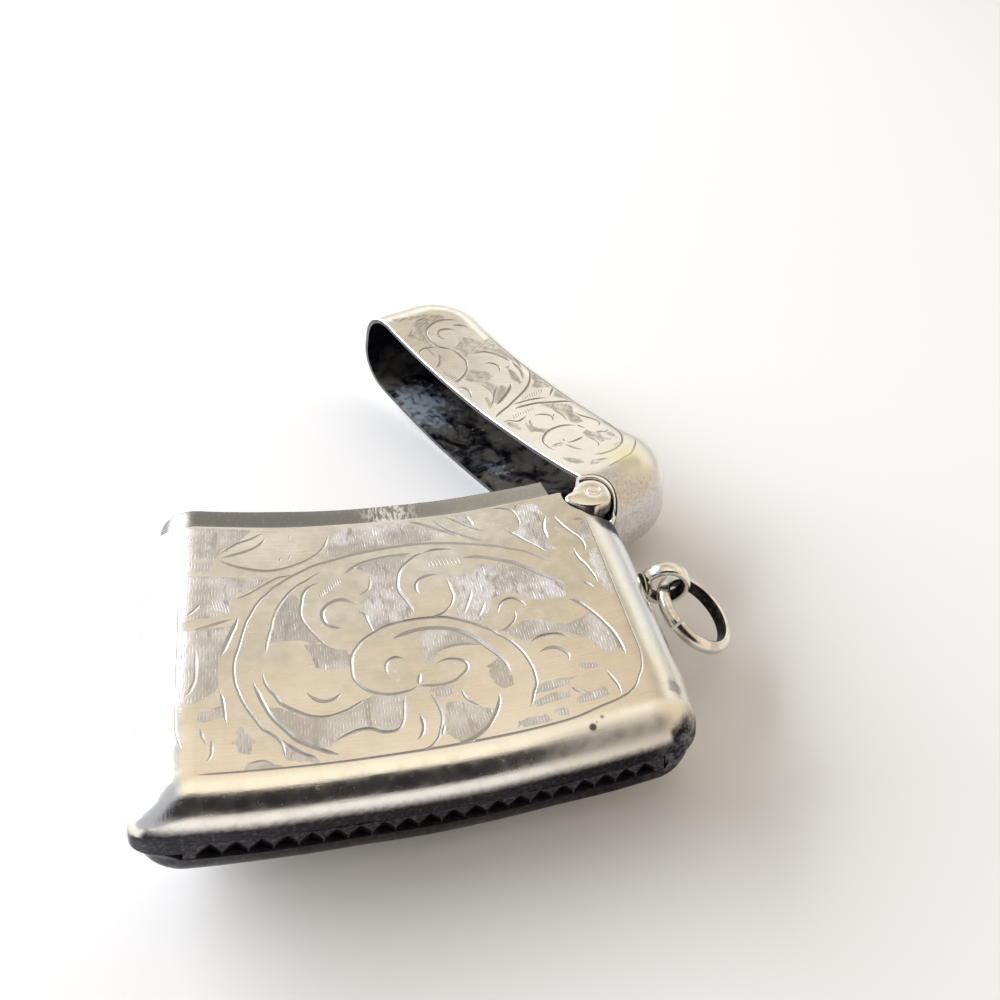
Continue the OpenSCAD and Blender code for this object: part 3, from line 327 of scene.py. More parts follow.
LID_GROUND = [
    [(-8.9, 33), (-4.6, 33), (-3.5, 32.6), (-4.4, 32.4), (-5.5, 32.1), (-6.4, 31.6), (-7.1, 31.1), (-7.4, 30.3), (-7.5, 29.2), (-7.3, 28.5), (-8.5, 28.4), (-9.2, 28.3), (-9.5, 29.3), (-9.9, 30), (-10.3, 30.4), (-9.6, 31.1), (-8.8, 31.6)],
    [(-14.9, 30.2), (-14.1, 30.8), (-13.7, 30.2), (-13.9, 29.2), (-13.5, 28.2), (-12.8, 27.5), (-11.8, 27.1), (-10.5, 27), (-10.7, 26.3), (-11.5, 26.1), (-12.1, 25.7), (-12.9, 25.4), (-13.2, 25.9), (-13.9, 26.9), (-14.4, 26.8), (-14.8, 27.8)],
    [(-5.5, 27.8), (-4.8, 28.4), (-4.2, 29.1), (-3.2, 29.1), (-2.7, 28.4), (-1.9, 28.4), (-1.4, 28.1), (-0.7, 27.4), (-1.5, 27.2), (-2.4, 27.2), (-3.2, 26.9), (-4, 26.4), (-4.5, 26.3), (-4.9, 27.2)],
    [(-1.5, 29), (-0.7, 29.1), (-0.1, 28.2), (0.4, 27.2), (0.7, 26.5), (0.2, 26.7), (-0.6, 27.5), (-1.4, 28.2)],
    [(-2.4, 33.1), (-0.6, 33), (1.2, 33), (1.6, 32.7), (1.2, 32), (0.9, 31.3), (0.3, 31.2), (-0.2, 32), (-0.9, 32.2), (-1.6, 32.7)],
    [(-3.9, 31.3), (-2.6, 31.5), (-1.6, 31.2), (-0.5, 30.8), (-0.8, 30.5), (-1.8, 30.3), (-2.6, 30.7)],
    [(2, 33.05), (5.2, 33.05), (4.4, 32.7), (3.4, 31.9), (2.9, 31.8), (2.5, 32.4)],
    [(3.2, 29.9), (4.6, 30.1), (5.6, 30.5), (6.8, 30.5), (7.6, 30.1), (8.2, 30.4), (8.5, 31.2), (7.6, 31.5), (6.6, 31.4), (6.1, 31.9), (5.4, 32.3), (4.7, 32), (4, 31.2)],
    [(10, 29.6), (9.5, 30.2), (10.3, 30.6), (10.9, 30.9), (11.8, 30.8), (12.6, 31), (12.4, 29.6), (11, 29.5)],
    [(10.8, 31.3), (11.3, 31.9), (12, 31.9), (12.9, 31.5), (11.8, 31.2)],
    [(13.3, 31.3), (13.9, 31), (14.1, 30.2), (13.7, 30.2), (13.4, 30.8)],
    [(6, 26.8), (7, 27.5), (7.6, 28), (7.9, 27.7), (7.6, 27), (7, 26.6), (6.7, 26), (6, 26.2), (5.2, 26.4), (5, 26.8)],
    [(4.6, 26), (5.5, 25.9), (5.9, 25.4), (5, 25.1), (4, 25), (4, 25.6)],
    [(9.7, 26.9), (10.3, 27.1), (10.2, 26.5), (9.9, 26), (9.5, 26.2)],
    [(11.7, 25.4), (12.6, 26.2), (13.4, 26.6), (14, 26.4), (13.8, 25.8), (13, 25.4)],
    [(14.1, 27.2), (14.6, 27.8), (15, 27.7), (15, 26.8), (14.6, 26.4), (14.3, 26.7)],
    [(-16.1, 25.2), (-15.7, 27.2), (-15.3, 29.2), (-14.9, 30), (-14.9, 28.6), (-15.2, 27), (-15.4, 25.6)],
]


# ------------------------------------------------------------------ engraving
def smooth_line(pts, step):
    pts = np.array(pts, float)
    if len(pts) == 2:
        pts = np.stack([pts[0], (pts[0] + pts[1]) / 2, pts[1]])
    Q = np.vstack([2 * pts[0] - pts[1], pts, 2 * pts[-1] - pts[-2]])
    out = []
    for i in range(1, len(Q) - 2):
        a, b, c, d = Q[i - 1:i + 3]
        n = max(2, int(np.linalg.norm(c - b) / 0.04))
        t = np.linspace(0, 1, n, endpoint=False)[:, None]
        out.append(0.5 * (2 * b + (c - a) * t + (2 * a - 5 * b + 4 * c - d) * t ** 2 + (3 * b - a - 3 * c + d) * t ** 3))
    C = np.vstack(out + [pts[-1:]])
    L = np.r_[0, np.cumsum(np.linalg.norm(np.diff(C, axis=0), axis=1))]
    s = np.linspace(0, L[-1], max(9, int(L[-1] / 0.05)))
    C = np.stack([np.interp(s, L, C[:, 0]), np.interp(s, L, C[:, 1])], 1)
    k = min(9, (len(C) - 1) // 4)
    for _ in range(k):                      # takes the shake out of the listed points
        C[1:-1] = 0.5 * C[1:-1] + 0.25 * (C[:-2] + C[2:])
    L = np.r_[0, np.cumsum(np.linalg.norm(np.diff(C, axis=0), axis=1))]
    s = np.linspace(0, L[-1], max(4, int(round(L[-1] / step)) + 1))
    return np.stack([np.interp(s, L, C[:, 0]), np.interp(s, L, C[:, 1])], 1), s / L[-1]


class Stroke:
    def __init__(self, w, lean, pts):
        self.c, s = smooth_line(pts, 0.16)
        L = np.linalg.norm(np.diff(self.c, axis=0), axis=1).sum()
        a, b = min(0.3, 0.9 / L), min(0.3, 0.7 / L)
        env = np.minimum(1, s / a) ** 0.7 * np.minimum(1, (1 - s) / b) ** 0.7
        self.w = w * env * (0.78 + 0.22 * np.sin(PI * s)) * (1 + 0.10 * np.sin(9 * s + 40 * w))
        self.w[0] = self.w[-1] = 0
        self.lean = lean
        self.deep = 0.40 + 0.06 * math.sin(31 * pts[0][0] + 17 * pts[0][1])
        d = np.gradient(self.c, axis=0)
        d /= np.linalg.norm(d, axis=1)[:, None] + 1e-12
        self.n = np.stack([-d[:, 1], d[:, 0]], 1)
        self.box = (self.c.min(0) - w - .4, self.c.max(0) + w + .4)

    def near(self, P):
        """(depth, clearance to the cut's edge) at points P."""
        depth = np.zeros(len(P))
        clear = np.full(len(P), 9.0)
        k = np.where(((P > self.box[0]) & (P < self.box[1])).all(1))[0]
        for i in range(0, len(k), 4000):
            kk = k[i:i + 4000]
            X = P[kk][:, None, :]
            a, b = self.c[:-1][None], self.c[1:][None]
            ab = b - a
            t = np.clip(((X - a) * ab).sum(-1) / ((ab ** 2).sum(-1) + 1e-12), 0, 1)
            off = X - (a + t[..., None] * ab)
            dist = np.linalg.norm(off, axis=-1)
            j = dist.argmin(1)
            r = np.arange(len(kk))
            tt, dd = t[r, j], dist[r, j]
            w = self.w[j] * (1 - tt) + self.w[j + 1] * tt
            nn = self.n[j] * (1 - tt)[:, None] + self.n[j + 1] * tt[:, None]
            sgn = np.sign((off[r, j] * nn).sum(-1))
            x = sgn * dd
            v = self.lean * w
            prof = np.where(x < v, (x + w) / (v + w + 1e-9), (w - x) / (w - v + 1e-9))
            depth[kk] = np.maximum(0, np.where(dd < w, prof, 0)) * w * self.deep
            clear[kk] = dd - w
        return depth, clear


def inside(P, poly):
    x, y = P[:, 0], P[:, 1]
    hit = np.zeros(len(P), bool)
    a = np.array(poly, float)
    for (x0, y0), (x1, y1) in zip(a, np.roll(a, -1, 0)):
        c = (y0 > y) != (y1 > y)
        if c.any():
            xs = x0 + (y - y0) / ((y1 - y0) if y1 != y0 else 1e-12) * (x1 - x0)
            hit ^= c & (x < xs)
    return hit


def to_outline(P, loop):
    """Distance of points to a closed loop."""
    a = np.array(loop, float)
    b = np.roll(a, -1, 0)
    out = np.full(len(P), 1e9)
    for i in range(len(a)):
        ab = b[i] - a[i]
        t = np.clip(((P - a[i]) @ ab) / (ab @ ab + 1e-12), 0, 1)
        out = np.minimum(out, np.linalg.norm(P - a[i] - t[:, None] * ab, axis=1))
    return out


def hatch_cuts(polys, strokes, deep):
    """Short graver cuts that fill the ground between the leaves."""
    cuts = []
    for poly in polys:
        a = np.array(poly, float)
        lo, hi = a.min(0), a.max(0)
        tilt = rng.uniform(-0.05, 0.05)
        p = lo[0] + 0.06
        while p < hi[0]:
            q = np.arange(lo[1], hi[1], 0.045)
            P = np.stack([p + tilt * (q - lo[1]), q], 1)
            ok = inside(P, poly)
            clear = np.full(len(P), 9.0)
            for s in strokes:
                if s.box[0][0] < p + 1 and s.box[1][0] > p - 1:
                    clear = np.minimum(clear, s.near(P)[1])
            ok &= clear > 0.10
            i = 0
            while i < len(q):
                if not ok[i]:
                    i += 1
                    continue
                j = i
                want = int(rng.uniform(0.55, 1.35) / 0.045)
                while j + 1 < len(q) and ok[j + 1] and j - i < want:
                    j += 1
                if j - i >= 6:
                    cuts.append((P[i], P[j], rng.uniform(0.05, 0.085), 0.45 if rng.random() < 0.03 else rng.uniform(*deep)))
                i = j + 2
            p += rng.uniform(0.185, 0.25)
    return cuts


def engrave(outline, strokes, polys, grid, rows, deep):
    """Triangulated sheet in the developed plane with every cut in it.

    Returns points, triangles, depth at the points, ground mask and cut mask
    of the triangles, and where each outline point went.
    """
    V = [tuple(v) for v in outline]
    n0 = len(V)
    E = [(i, (i + 1) % n0) for i in range(n0)]
    loop = np.array(outline, float)
    for s in strokes:
        rails = [s.c + s.n * s.w[:, None], s.c + s.n * (s.w * s.lean)[:, None], s.c - s.n * s.w[:, None]]
        k = len(s.c)
        first, last = len(V), len(V) + 1
        V += [tuple(s.c[0]), tuple(s.c[-1])]
        for r in rails:
            i0 = len(V)
            V += [tuple(x) for x in r[1:-1]]
            ids = [first] + list(range(i0, i0 + k - 2)) + [last]
            E += list(zip(ids[:-1], ids[1:]))
    cuts = hatch_cuts(polys, strokes, deep) if polys else []
    for a, b, w, k in cuts:
        m = a + (b - a) * 0.5
        d = (b - a) / np.linalg.norm(b - a)
        n = np.array([-d[1], d[0]])
        i0 = len(V)
        V += [tuple(a), tuple(b), tuple(m + n * w), tuple(m - n * w), tuple(m + n * w * 0.2)]
        E += [(i0, i0 + 2), (i0 + 2, i0 + 1), (i0, i0 + 3), (i0 + 3, i0 + 1), (i0, i0 + 4), (i0 + 4, i0 + 1)]
    for row in rows:
        i0 = len(V)
        V += [tuple(x) for x in row]
        E += [(i0 + i, i0 + i + 1) for i in range(len(row) - 1)]
    G = np.array(grid, float)
    if len(G):
        keep = inside(G, loop) & (to_outline(G, loop) > 0.12)
        for s in strokes:
            keep &= s.near(G)[1] > 0.10
        if cuts:
            mid = np.array([(c[0] + c[1]) / 2 for c in cuts])
            half = np.array([np.linalg.norm(c[1] - c[0]) / 2 for c in cuts])
            for i in range(0, len(G), 500):
                g = G[i:i + 500]
                dx = np.abs(g[:, None, 0] - mid[None, :, 0])
                dy = np.abs(g[:, None, 1] - mid[None, :, 1])
                keep[i:i + 500] &= ~((dx < 0.13) & (dy < half[None] + 0.06)).any(1)
        V += [tuple(x) for x in G[keep]]
    vo, eo, fo, ov, oe, of_ = delaunay_2d_cdt([Vector(v) for v in V], E, [], 1, 1e-5, True)
    P = np.array([(v.x, v.y) for v in vo])
    F = np.array([f for f in fo if len(f) == 3], int)
    F = F[inside(P[F].mean(1), loop)]
    where = np.full(n0, -1)
    for i, ids in enumerate(ov):
        for j in ids:
            if j < n0:
                where[j] = i
    depth = np.zeros(len(P))
    for s in strokes:
        depth = np.maximum(depth, s.near(P)[0])
    hit = np.zeros(len(P))
    if cuts:
        A = np.array([c[0] for c in cuts])
        B = np.array([c[1] for c in cuts])
        Wc = np.array([c[2] for c in cuts])
        mids = (A + B) / 2
        dirs = (B - A) / np.linalg.norm(B - A, axis=1)[:, None]
        tips = mids + np.stack([-dirs[:, 1], dirs[:, 0]], 1) * (Wc * 0.2)[:, None]
        look = {}
        for i, m in enumerate(tips):
            look[(round(m[0], 3), round(m[1], 3))] = Wc[i] * cuts[i][3]
        for i, v in enumerate(P):
            d = look.get((round(v[0], 3), round(v[1], 3)))
            if d is not None:
                hit[i] = d
    depth = np.maximum(depth, hit)
    C = P[F].mean(1)
    ground = np.zeros(len(F), bool)
    for poly in polys:
        ground |= inside(C, poly)
    cut = (depth[F] > 0.006).any(1)
    return P, F, depth, ground, cut, where


# ------------------------------------------------------------------ meshes
def angle_normals(P, faces):
    N = np.zeros_like(P)
    tri = []
    for f in faces:
        for i in range(1, len(f) - 1):
            tri.append((f[0], f[i], f[i + 1]))
    tri = np.array(tri)
    n = np.cross(P[tri[:, 1]] - P[tri[:, 0]], P[tri[:, 2]] - P[tri[:, 0]])
    for k in range(3):
        np.add.at(N, tri[:, k], n)
    return N / (np.linalg.norm(N, axis=1, keepdims=True) + 1e-12)


def make_mesh(name, verts, faces, body, mats, mat_ids=None, normals=None, smooth=True, attrs=None, node=None):
    me = bpy.data.meshes.new(name)
    me.from_pydata([tuple(v * MM) for v in np.asarray(verts, float)], [], [tuple(int(i) for i in f) for f in faces])
    for m in mats:
        me.materials.append(m)
    if mat_ids is not None:
        me.polygons.foreach_set("material_index", np.asarray(mat_ids, np.int32))
    sm = np.full(len(me.polygons), bool(smooth)) if np.isscalar(smooth) else np.asarray(smooth, bool)
    me.polygons.foreach_set("use_smooth", sm)
    for key, (domain, val) in (attrs or {}).items():
        a = me.attributes.new(key, "FLOAT", domain)
        a.data.foreach_set("value", np.asarray(val, np.float32))
    me.update()
    if normals is not None:
        me.normals_split_custom_set([tuple(n) for n in normals])
    ob = bpy.data.objects.new(name, me)
    bpy.context.scene.collection.objects.link(ob)
    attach(ob, body)
    if node:
        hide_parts(*([node] if isinstance(node, str) else node))
    return ob


class Sheet:
    """One face of a sheet-metal shell: base points, normals and faces."""

    def __init__(self):
        self.P, self.N, self.F, self.key = [], [], [], {}

    def add(self, key, pos):
        self.key[key] = len(self.P)
        self.P.append(np.asarray(pos, float))
        self.N.append(None)
        return self.key[key]


def close_shell(name, outer, inner, body, node, mats, place=None, turn=None, wall=WALL):
    """Joins the outer and inner sheets along their edges into a closed solid."""
    Po, No, Fo = outer["P"], outer["N"], outer["F"]
    Pi, Ni, Fi = inner["P"], inner["N"], inner["F"]
    Ph = Po + No * (-outer["depth"])[:, None]
    Pw = Pi - Ni * wall
    verts = np.vstack([Ph, Pw])
    k = len(Po)
    faces = [tuple(f) for f in Fo] + [tuple(int(i) + k for i in f[::-1]) for f in Fi]
    count = {}
    for f in Fo:
        for a, b in zip(f, list(f[1:]) + [f[0]]):
            count[(int(a), int(b))] = 1
    back_o = {v: kk for kk, v in outer["key"].items()}
    rim = []
    missing = 0
    for (a, b) in count:
        if (b, a) not in count:
            ka, kb = back_o.get(a), back_o.get(b)
            if ka in inner["key"] and kb in inner["key"]:
                rim.append((b, a, inner["key"][ka] + k, inner["key"][kb] + k))
            else:
                missing += 1
    if missing:
        print("open edges", name, missing)
    faces += rim
    normals = []
    gp = outer["corner_normals"]
    for i, f in enumerate(Fo):
        normals.extend(gp[i])
    for f in Fi:
        for v in f[::-1]:
            normals.append(-Ni[v])
    for f in rim:
        n = np.cross(verts[f[1]] - verts[f[0]], verts[f[3]] - verts[f[0]])
        n /= np.linalg.norm(n) + 1e-12
        normals.extend([n] * 4)
    normals = np.array(normals)
    if place is not None:
        verts, normals = place(verts), turn(normals)
    ids = [0] * len(Fo) + [1] * len(Fi) + [2] * len(rim)
    z = [0.0] * (len(Fi) + len(rim))
    attrs = {"ground": ("FACE", list(outer["ground"].astype(float)) + z), "cut": ("FACE", list(outer["cut"].astype(float)) + z),
             "soot_and_shade": ("POINT", list(outer["soot_and_shade"]) + [0.0] * len(Pi))}
    print(name, "faces", len(faces), "rim", len(rim))
    return make_mesh(name, verts, faces, body, mats, ids, normals, True, attrs, node)


NT, NW, NW2, NPSI = 12, 3, 2, 12


def body_sheet(side, strokes, polys, fine):
    RB = RBF if side > 0 else RBB
    n0 = T / 2 - RS
    mid0 = 0.42
    tj = np.linspace(0, PI / 2, NT + 1)
    wall_n = list(np.linspace(n0, mid0, NW + 1)[1:]) + list(np.linspace(mid0, 0, NW2 + 1)[1:])
    out_p = [U0 + RS * t for t in tj[1:]] + [U0 + QUART + (n0 - n) for n in wall_n]
    flat = list(np.linspace(-U0, U0, 65))
    bottom = [-p for p in out_p[::-1]] + flat + out_p
    nb = len(bottom)
    outline = [(p, RB) for p in bottom]
    ny = H - HY + 0.0
    yn = HY - GUARD - 0.2
    for q in np.linspace(RB, yn, 36)[1:]:
        outline.append((PM, q))
    pa = p_of_x(HX + math.sqrt(NOTCH ** 2 - (HY - yn) ** 2), side)
    for p in np.linspace(PM, pa, 16)[1:]:
        outline.append((p, yn))
    a0 = 1.5 * PI + math.asin(math.sqrt(NOTCH ** 2 - (HY - yn) ** 2) / NOTCH)
    a1 = PI - math.asin((H - HY) / NOTCH)
    for a in np.linspace(a0, a1, 34)[1:]:
        outline.append((p_of_x(HX + NOTCH * math.cos(a), side), HY + NOTCH * math.sin(a)))
    pe = outline[-1][0]
    mouth = np.r_[np.linspace(pe, -U0, 62)[1:], [-p for p in out_p]]
    for p in mouth:
        outline.append((p, H))
    for q in np.linspace(H, RB, 42)[1:-1]:
        outline.append((-PM, q))
    # points inside
    sp = 0.62 if fine else 0.95
    cols = np.r_[[-p for p in out_p[::-1]], np.linspace(-U0, U0, int(2 * U0 / sp)), out_p]
    grid = []
    for i, q in enumerate(np.arange(RB + 0.45, H - 0.2, 0.62 if fine else 1.0)):
        for j, p in enumerate(cols):
            sh = 0.3 * sp if (i % 2 and abs(p) < U0 - 0.5) else 0.0
            grid.append((p + sh, q))
    rows = []
    for dq in (0.05, 0.13):
        rows.append([(p, H - dq) for p in np.linspace(-PM + 0.25, p_of_x(HX - NOTCH, side) - 0.22, 110)])
    P2, F, depth, ground, cut, where = engrave(outline, strokes, polys, grid, rows, (0.09, 0.21))
    edge = np.clip((P2[:, 1] - (H - 0.13)) / 0.13, 0, 1)
    depth = np.maximum(depth, 0.11 * (1 - np.sqrt(np.maximum(0, 1 - edge ** 2))))
    P, N, fp, fq = frame_of(body_base, P2[:, 0], P2[:, 1], side, 0)
    S = Sheet()
    S.P = list(P)
    S.N = list(N)
    for i, w in enumerate(where):
        S.key[("o", i)] = int(w)
    nF = len(F)
    faces = [tuple(f) if side > 0 else tuple(f[::-1]) for f in F]
    # the base roll, its two corners and the end wall
    idx = {round(p, 6): int(where[i]) for i, p in enumerate(bottom)}

    def vid(p):
        return idx[round(p, 6)]

    def lift(u, y, n):
        X = bend(np.array([u]), np.array([y]), np.array([side * n]))[0]
        return X

    mrim = {(-1, 1): 4.2, (1, 1): 2.35, (-1, -1): 2.1, (1, -1): 2.1}
    mseam = {-1: 3.2, 1: 2.3}

    def seam_u(y, s):
        if y >= RBF:
            return RS
        B = (RBF - y) / RBF
        m = mseam[s]
        return RS * max(0.0, 1 - B ** m) ** (1 / m)

    def rim_point(t, psi, s):
        m = 2 + (mrim[(s, side)] - 2) * math.sin(t) ** 7
        c, d = math.cos(psi), math.sin(psi)
        k = (abs(c) ** m + abs(d) ** m) ** (-1 / m)
        rn = RS * c * c + RB * d * d
        return RS * math.sin(t) * k * c, RB - RB * math.sin(t) * k * d, T / 2 - rn * (1 - math.cos(t))

    columns = []

    def corner(s):
        psis = list(np.linspace(0, PI / 2, NPSI + 1)[1:-1])
        ts = np.linspace(0.9, PI / 2, 2000)[::-1]
        ps = next(float(x) for x in ts[::-1] if U0 + rim_point(PI / 2, x, s)[0] <= SLOT_U)
        psis = sorted([x for x in psis if abs(x - ps) > 0.05] + [ps])
        cols_ = []
        first = {"roll": [vid(s * U0)] + [vid(s * p) for p in out_p[:NT]], "wall": [vid(s * p) for p in out_p[NT:]]}
        cols_.append(first)
        for ci, psi in enumerate(psis):
            roll = [vid(s * U0)]
            for j in range(1, NT + 1):
                e, y, n = rim_point(tj[j], psi, s)
                roll.append(S.add(("r", s, ci, j), lift(s * (U0 + e), y, n)))
            er, yr, nr = rim_point(PI / 2, psi, s)
            f = math.sin(psi)
            nm = mid0 + (SLOT_N - mid0) * min(1, psi / ps) if side > 0 else 0.5 * nr
            wall = []
            at_slot = psi >= ps - 1e-6
            levels = list(np.linspace(nr, nm, NW + 1)[1:]) + list(np.linspace(nm, 0, NW2 + 1)[1:])
            if at_slot and psi > ps + 1e-6:
                levels = list(np.linspace(nr, SLOT_N, NW + 1)[1:]) if side > 0 else []
            ys = yr if side > 0 else RB * (1 - math.sin(psi))
            us = seam_u(ys, s)
            for j, n in enumerate(levels):
                g = 0 if psi > ps + 1e-6 else (nr - n) / nr
                wall.append(S.add(("w", s, ci, j), lift(s * (U0 + er + (us - er) * g), yr + (ys - yr) * g, n)))
            cols_.append({"roll": roll, "wall": wall})
        return cols_

    left = corner(-1)
    right = corner(1)
    mids = []
    for i, p in enumerate(flat):
        roll = [vid(p)]
        for j in range(1, NT + 1):
            t = tj[j]
            roll.append(S.add(("f", i, j), lift(p, RB * (1 - math.sin(t)), T / 2 - RB * (1 - math.cos(t)))))
        wall = []
        if side > 0:
            for j, n in enumerate(np.linspace(T / 2 - RB, SLOT_N, NW + 1)[1:]):
                wall.append(S.add(("fw", i, j), lift(p, 0.0, n)))
        mids.append({"roll": roll, "wall": wall})
    columns = left + mids + right[::-1]
    extra = []
    for a, b in zip(columns[:-1], columns[1:]):
        for ra, rb in ((a["roll"], b["roll"]),
                       ([a["roll"][-1]] + a["wall"], [b["roll"][-1]] + b["wall"])):
            for j in range(min(len(ra), len(rb)) - 1):
                q = [ra[j], ra[j + 1], rb[j + 1], rb[j]]
                if q[0] == q[3]:
                    q = q[:3]
                extra.append(tuple(q) if side > 0 else tuple(q[::-1]))
    # unevenness and normals of the added strips
    P = np.array(S.P)
    all_faces = faces + extra
    Nm = angle_normals(P, all_faces)
    k0 = len(N)
    P[k0:] += Nm[k0:] * wobble(P[k0:], 0)[:, None]
    Nm = angle_normals(P, all_faces)
    Nn = np.vstack([N, Nm[k0:]])
    low = P2[:, 1] < RB + 0.02
    Nn[:k0][low] = Nm[:k0][low]
    depth = np.r_[depth, np.zeros(len(P) - k0)]
    # darkened end, painted shade and reflection with some real blackening: the flat end wall, the rear roll beside it,
    # the corners
    soot_and_shade = np.zeros(len(P))
    deep = RM - np.hypot(P[:, 0], RM - P[:, 2])
    flat_end = (Nn[:, 1] < -0.80) & (P[:, 1] < 1.2)
    if side > 0:
        soot_and_shade = np.where(flat_end, np.clip((3.02 - deep) / 1.42, 0, 1), 0)
    else:
        soot_and_shade = np.where(P[:, 1] < 1.6, np.clip((-Nn[:, 1] - 0.80) / 0.15, 0, 1) * 0.85, 0)
    for s_, top, fade, lim, most in ((-1, 1.6, 1.2, 1.9, 1.0), (1, 4.8, 3.0, 1.9, 1.0), (1, 2.9, 2.3, 3.7, 0.8)):
        m = (P[:, 0] * s_ > 15.8) & (deep < lim)
        v = most * np.clip((top - P[:, 1]) / fade, 0, 1) * np.clip((lim - deep) / 0.8, 0, 1)
        soot_and_shade = np.where(m, np.maximum(soot_and_shade, v), soot_and_shade)
    if side > 0:
        # painted shadow on the right roll below the hinge ear, where the skin is also pressed in a little
        dx, dy = P[:, 0] - HX, P[:, 1] - HY
        low = np.clip((dy + 4.75 + 1.6 * dx) / 1.0 + 0.5, 0, 1) * np.clip((dx + 1.75) / 0.4, 0, 1)
        low = np.where((dx > -1.8) & (dy < 0.2), low, 0) * np.clip((dy + 4.9) / 1.1, 0, 1) * np.clip((P[:, 2] - 2.7) / 1.6, 0, 1)
        soot_and_shade = np.maximum(soot_and_shade, low * np.clip(0.44 + 0.17 * (dx + 1.3), 0.4, 0.85))
        P -= Nn * (0.14 * low * low * (3 - 2 * low))[:, None]
    P = worn(P)
    out = finish_sheet(P, Nn, all_faces, nF, P2, F, depth, fp, fq, side, ground, cut, S.key)
    out["soot_and_shade"] = soot_and_shade
    return out


def finish_sheet(P, N, faces, nF, P2, F, depth, fp, fq, side, ground, cut, key):
    """Corner normals: the sheet's own, tilted by the slope of each cut."""
    h = -depth[F]
    d1, d2 = P2[F[:, 1]] - P2[F[:, 0]], P2[F[:, 2]] - P2[F[:, 0]]
    det = d1[:, 0] * d2[:, 1] - d1[:, 1] * d2[:, 0]
    det = np.where(np.abs(det) < 1e-7, 1e-7, det)
    h1, h2 = h[:, 1] - h[:, 0], h[:, 2] - h[:, 0]
    gp = (h1 * d2[:, 1] - h2 * d1[:, 1]) / det
    gq = (h2 * d1[:, 0] - h1 * d2[:, 0]) / det
    mag = np.hypot(gp, gq)
    lim = np.minimum(1, 0.95 / (mag + 1e-9))
    gp, gq = gp * lim, gq * lim
    lp, lq = np.linalg.norm(fp, axis=1), np.linalg.norm(fq, axis=1)
    ep, eq = fp / lp[:, None], fq / lq[:, None]
    corners = []
    for c in range(3):
        v = F[:, c]
        n = N[v] - (gp / lp[v])[:, None] * ep[v] - (gq / lq[v])[:, None] * eq[v]
        corners.append(n / np.linalg.norm(n, axis=1)[:, None])
    corners = np.stack(corners, 1)
    if side < 0:
        corners = corners[:, ::-1]
    normals = [list(c) for c in corners]
    for f in faces[nF:]:
        normals.append([N[v] for v in f])
    pad = len(faces) - nF
    return {"P": P, "N": N, "F": faces, "depth": depth, "key": key, "corner_normals": normals,
            "ground": np.r_[ground, np.zeros(pad, bool)], "cut": np.r_[cut, np.zeros(pad, bool)],
            "soot_and_shade": np.zeros(len(P))}


def lid_sheet(side, strokes, polys, fine):
    y0 = H + GAP
    xs = lambda p: lid_base(np.array([p]), np.array([25.0]), side)[0, 0]
    pl = p_of_x(HX - math.sqrt(GUARD ** 2 - (y0 - HY) ** 2), side)
    outline = []
    out_p = [U0 + RS * t for t in np.linspace(0, PI / 2, NT + 1)[1:]] + [U0 + QUART + v for v in (0.3, 0.56, T / 2 - RS)]
    for p in np.r_[[-p for p in out_p[::-1]], np.linspace(-U0, pl, 62)]:
        outline.append((p, y0))
    arc = []
    for a in np.linspace(0, 1, 30)[1:]:
        p = pl + (PM - pl) * (0.5 * a + 0.5 * a * a if a < 1 else 1)
        x = xs(p)
        q = max(y0, HY + math.sqrt(max(0.0, GUARD ** 2 - (x - HX) ** 2)))
        arc.append((p, q))
    outline += arc
    qe = arc[-1][1]
    for q in np.linspace(qe, CY, 10)[1:]:
        outline.append((PM, q))

    def rmax(psi):
        r = RS * math.cos(psi) ** 2 + RT * math.sin(psi) ** 2
        return RC - r + r * PI / 2 + T / 2 - r

    for psi in np.linspace(0, PI / 2, 26)[1:]:
        outline.append((CX + rmax(psi) * math.cos(psi), CY + rmax(psi) * math.sin(psi)))
    qt = CY + rmax(PI / 2)
    for p in np.linspace(CX, -CX, 48)[1:]:
        outline.append((p, qt))
    for psi in np.linspace(PI / 2, 0, 26)[1:]:
        outline.append((-CX - rmax(psi) * math.cos(psi), CY + rmax(psi) * math.sin(psi)))
    for q in np.linspace(CY, y0, 10)[1:-1]:
        outline.append((-PM, q))
    grid = []
    sp = 0.62 if fine else 0.95
    for i, q in enumerate(np.arange(y0 + 0.45, CY, 0.62 if fine else 0.95)):
        for p in np.r_[[-p for p in out_p[::-1]], np.linspace(-U0, U0, int(2 * U0 / sp)), out_p]:
            grid.append((p + (0.3 * sp if i % 2 and abs(p) < U0 - .5 else 0), q))
    for q in np.r_[np.arange(CY, TOP - RT, 0.62 if fine else 0.95), TOP - RT + RT * np.linspace(0, PI / 2, NT + 1), qt - 0.6]:
        for p in np.linspace(-CX, CX, int(2 * CX / sp)):
            grid.append((p, q))
    for psi in np.linspace(0, PI / 2, 17):
        r = RS * math.cos(psi) ** 2 + RT * math.sin(psi) ** 2
        for rho in np.r_[np.arange(0.7, RC - r, 0.7), RC - r + r * np.linspace(0, PI / 2, NT + 1), RC - r + r * PI / 2 + 0.4]:
            for s in (-1, 1):
                grid.append((s * (CX + rho * math.cos(psi)), CY + rho * math.sin(psi)))
    rows = []
    for dq in (0.05, 0.13):
        rows.append([(p, y0 + dq) for p in np.linspace(-PM + 0.25, pl - 0.2, 110)])
    P2, F, depth, ground, cut, where = engrave(outline, strokes, polys, grid, rows, (0.24, 0.42))
    edge = np.clip(((y0 + 0.13) - P2[:, 1]) / 0.13, 0, 1)
    edge = np.where(P2[:, 0] < pl + 0.05, edge, 0)
    depth = np.maximum(depth, 0.11 * (1 - np.sqrt(np.maximum(0, 1 - edge ** 2))))
    P, N, fp, fq = frame_of(lid_base, P2[:, 0], P2[:, 1], side, 1)
    faces = [tuple(f) if side > 0 else tuple(f[::-1]) for f in F]
    key = {("o", i): int(w) for i, w in enumerate(where)}
    return finish_sheet(P, N, faces, len(F), P2, F, depth, fp, fq, side, ground, cut, key)


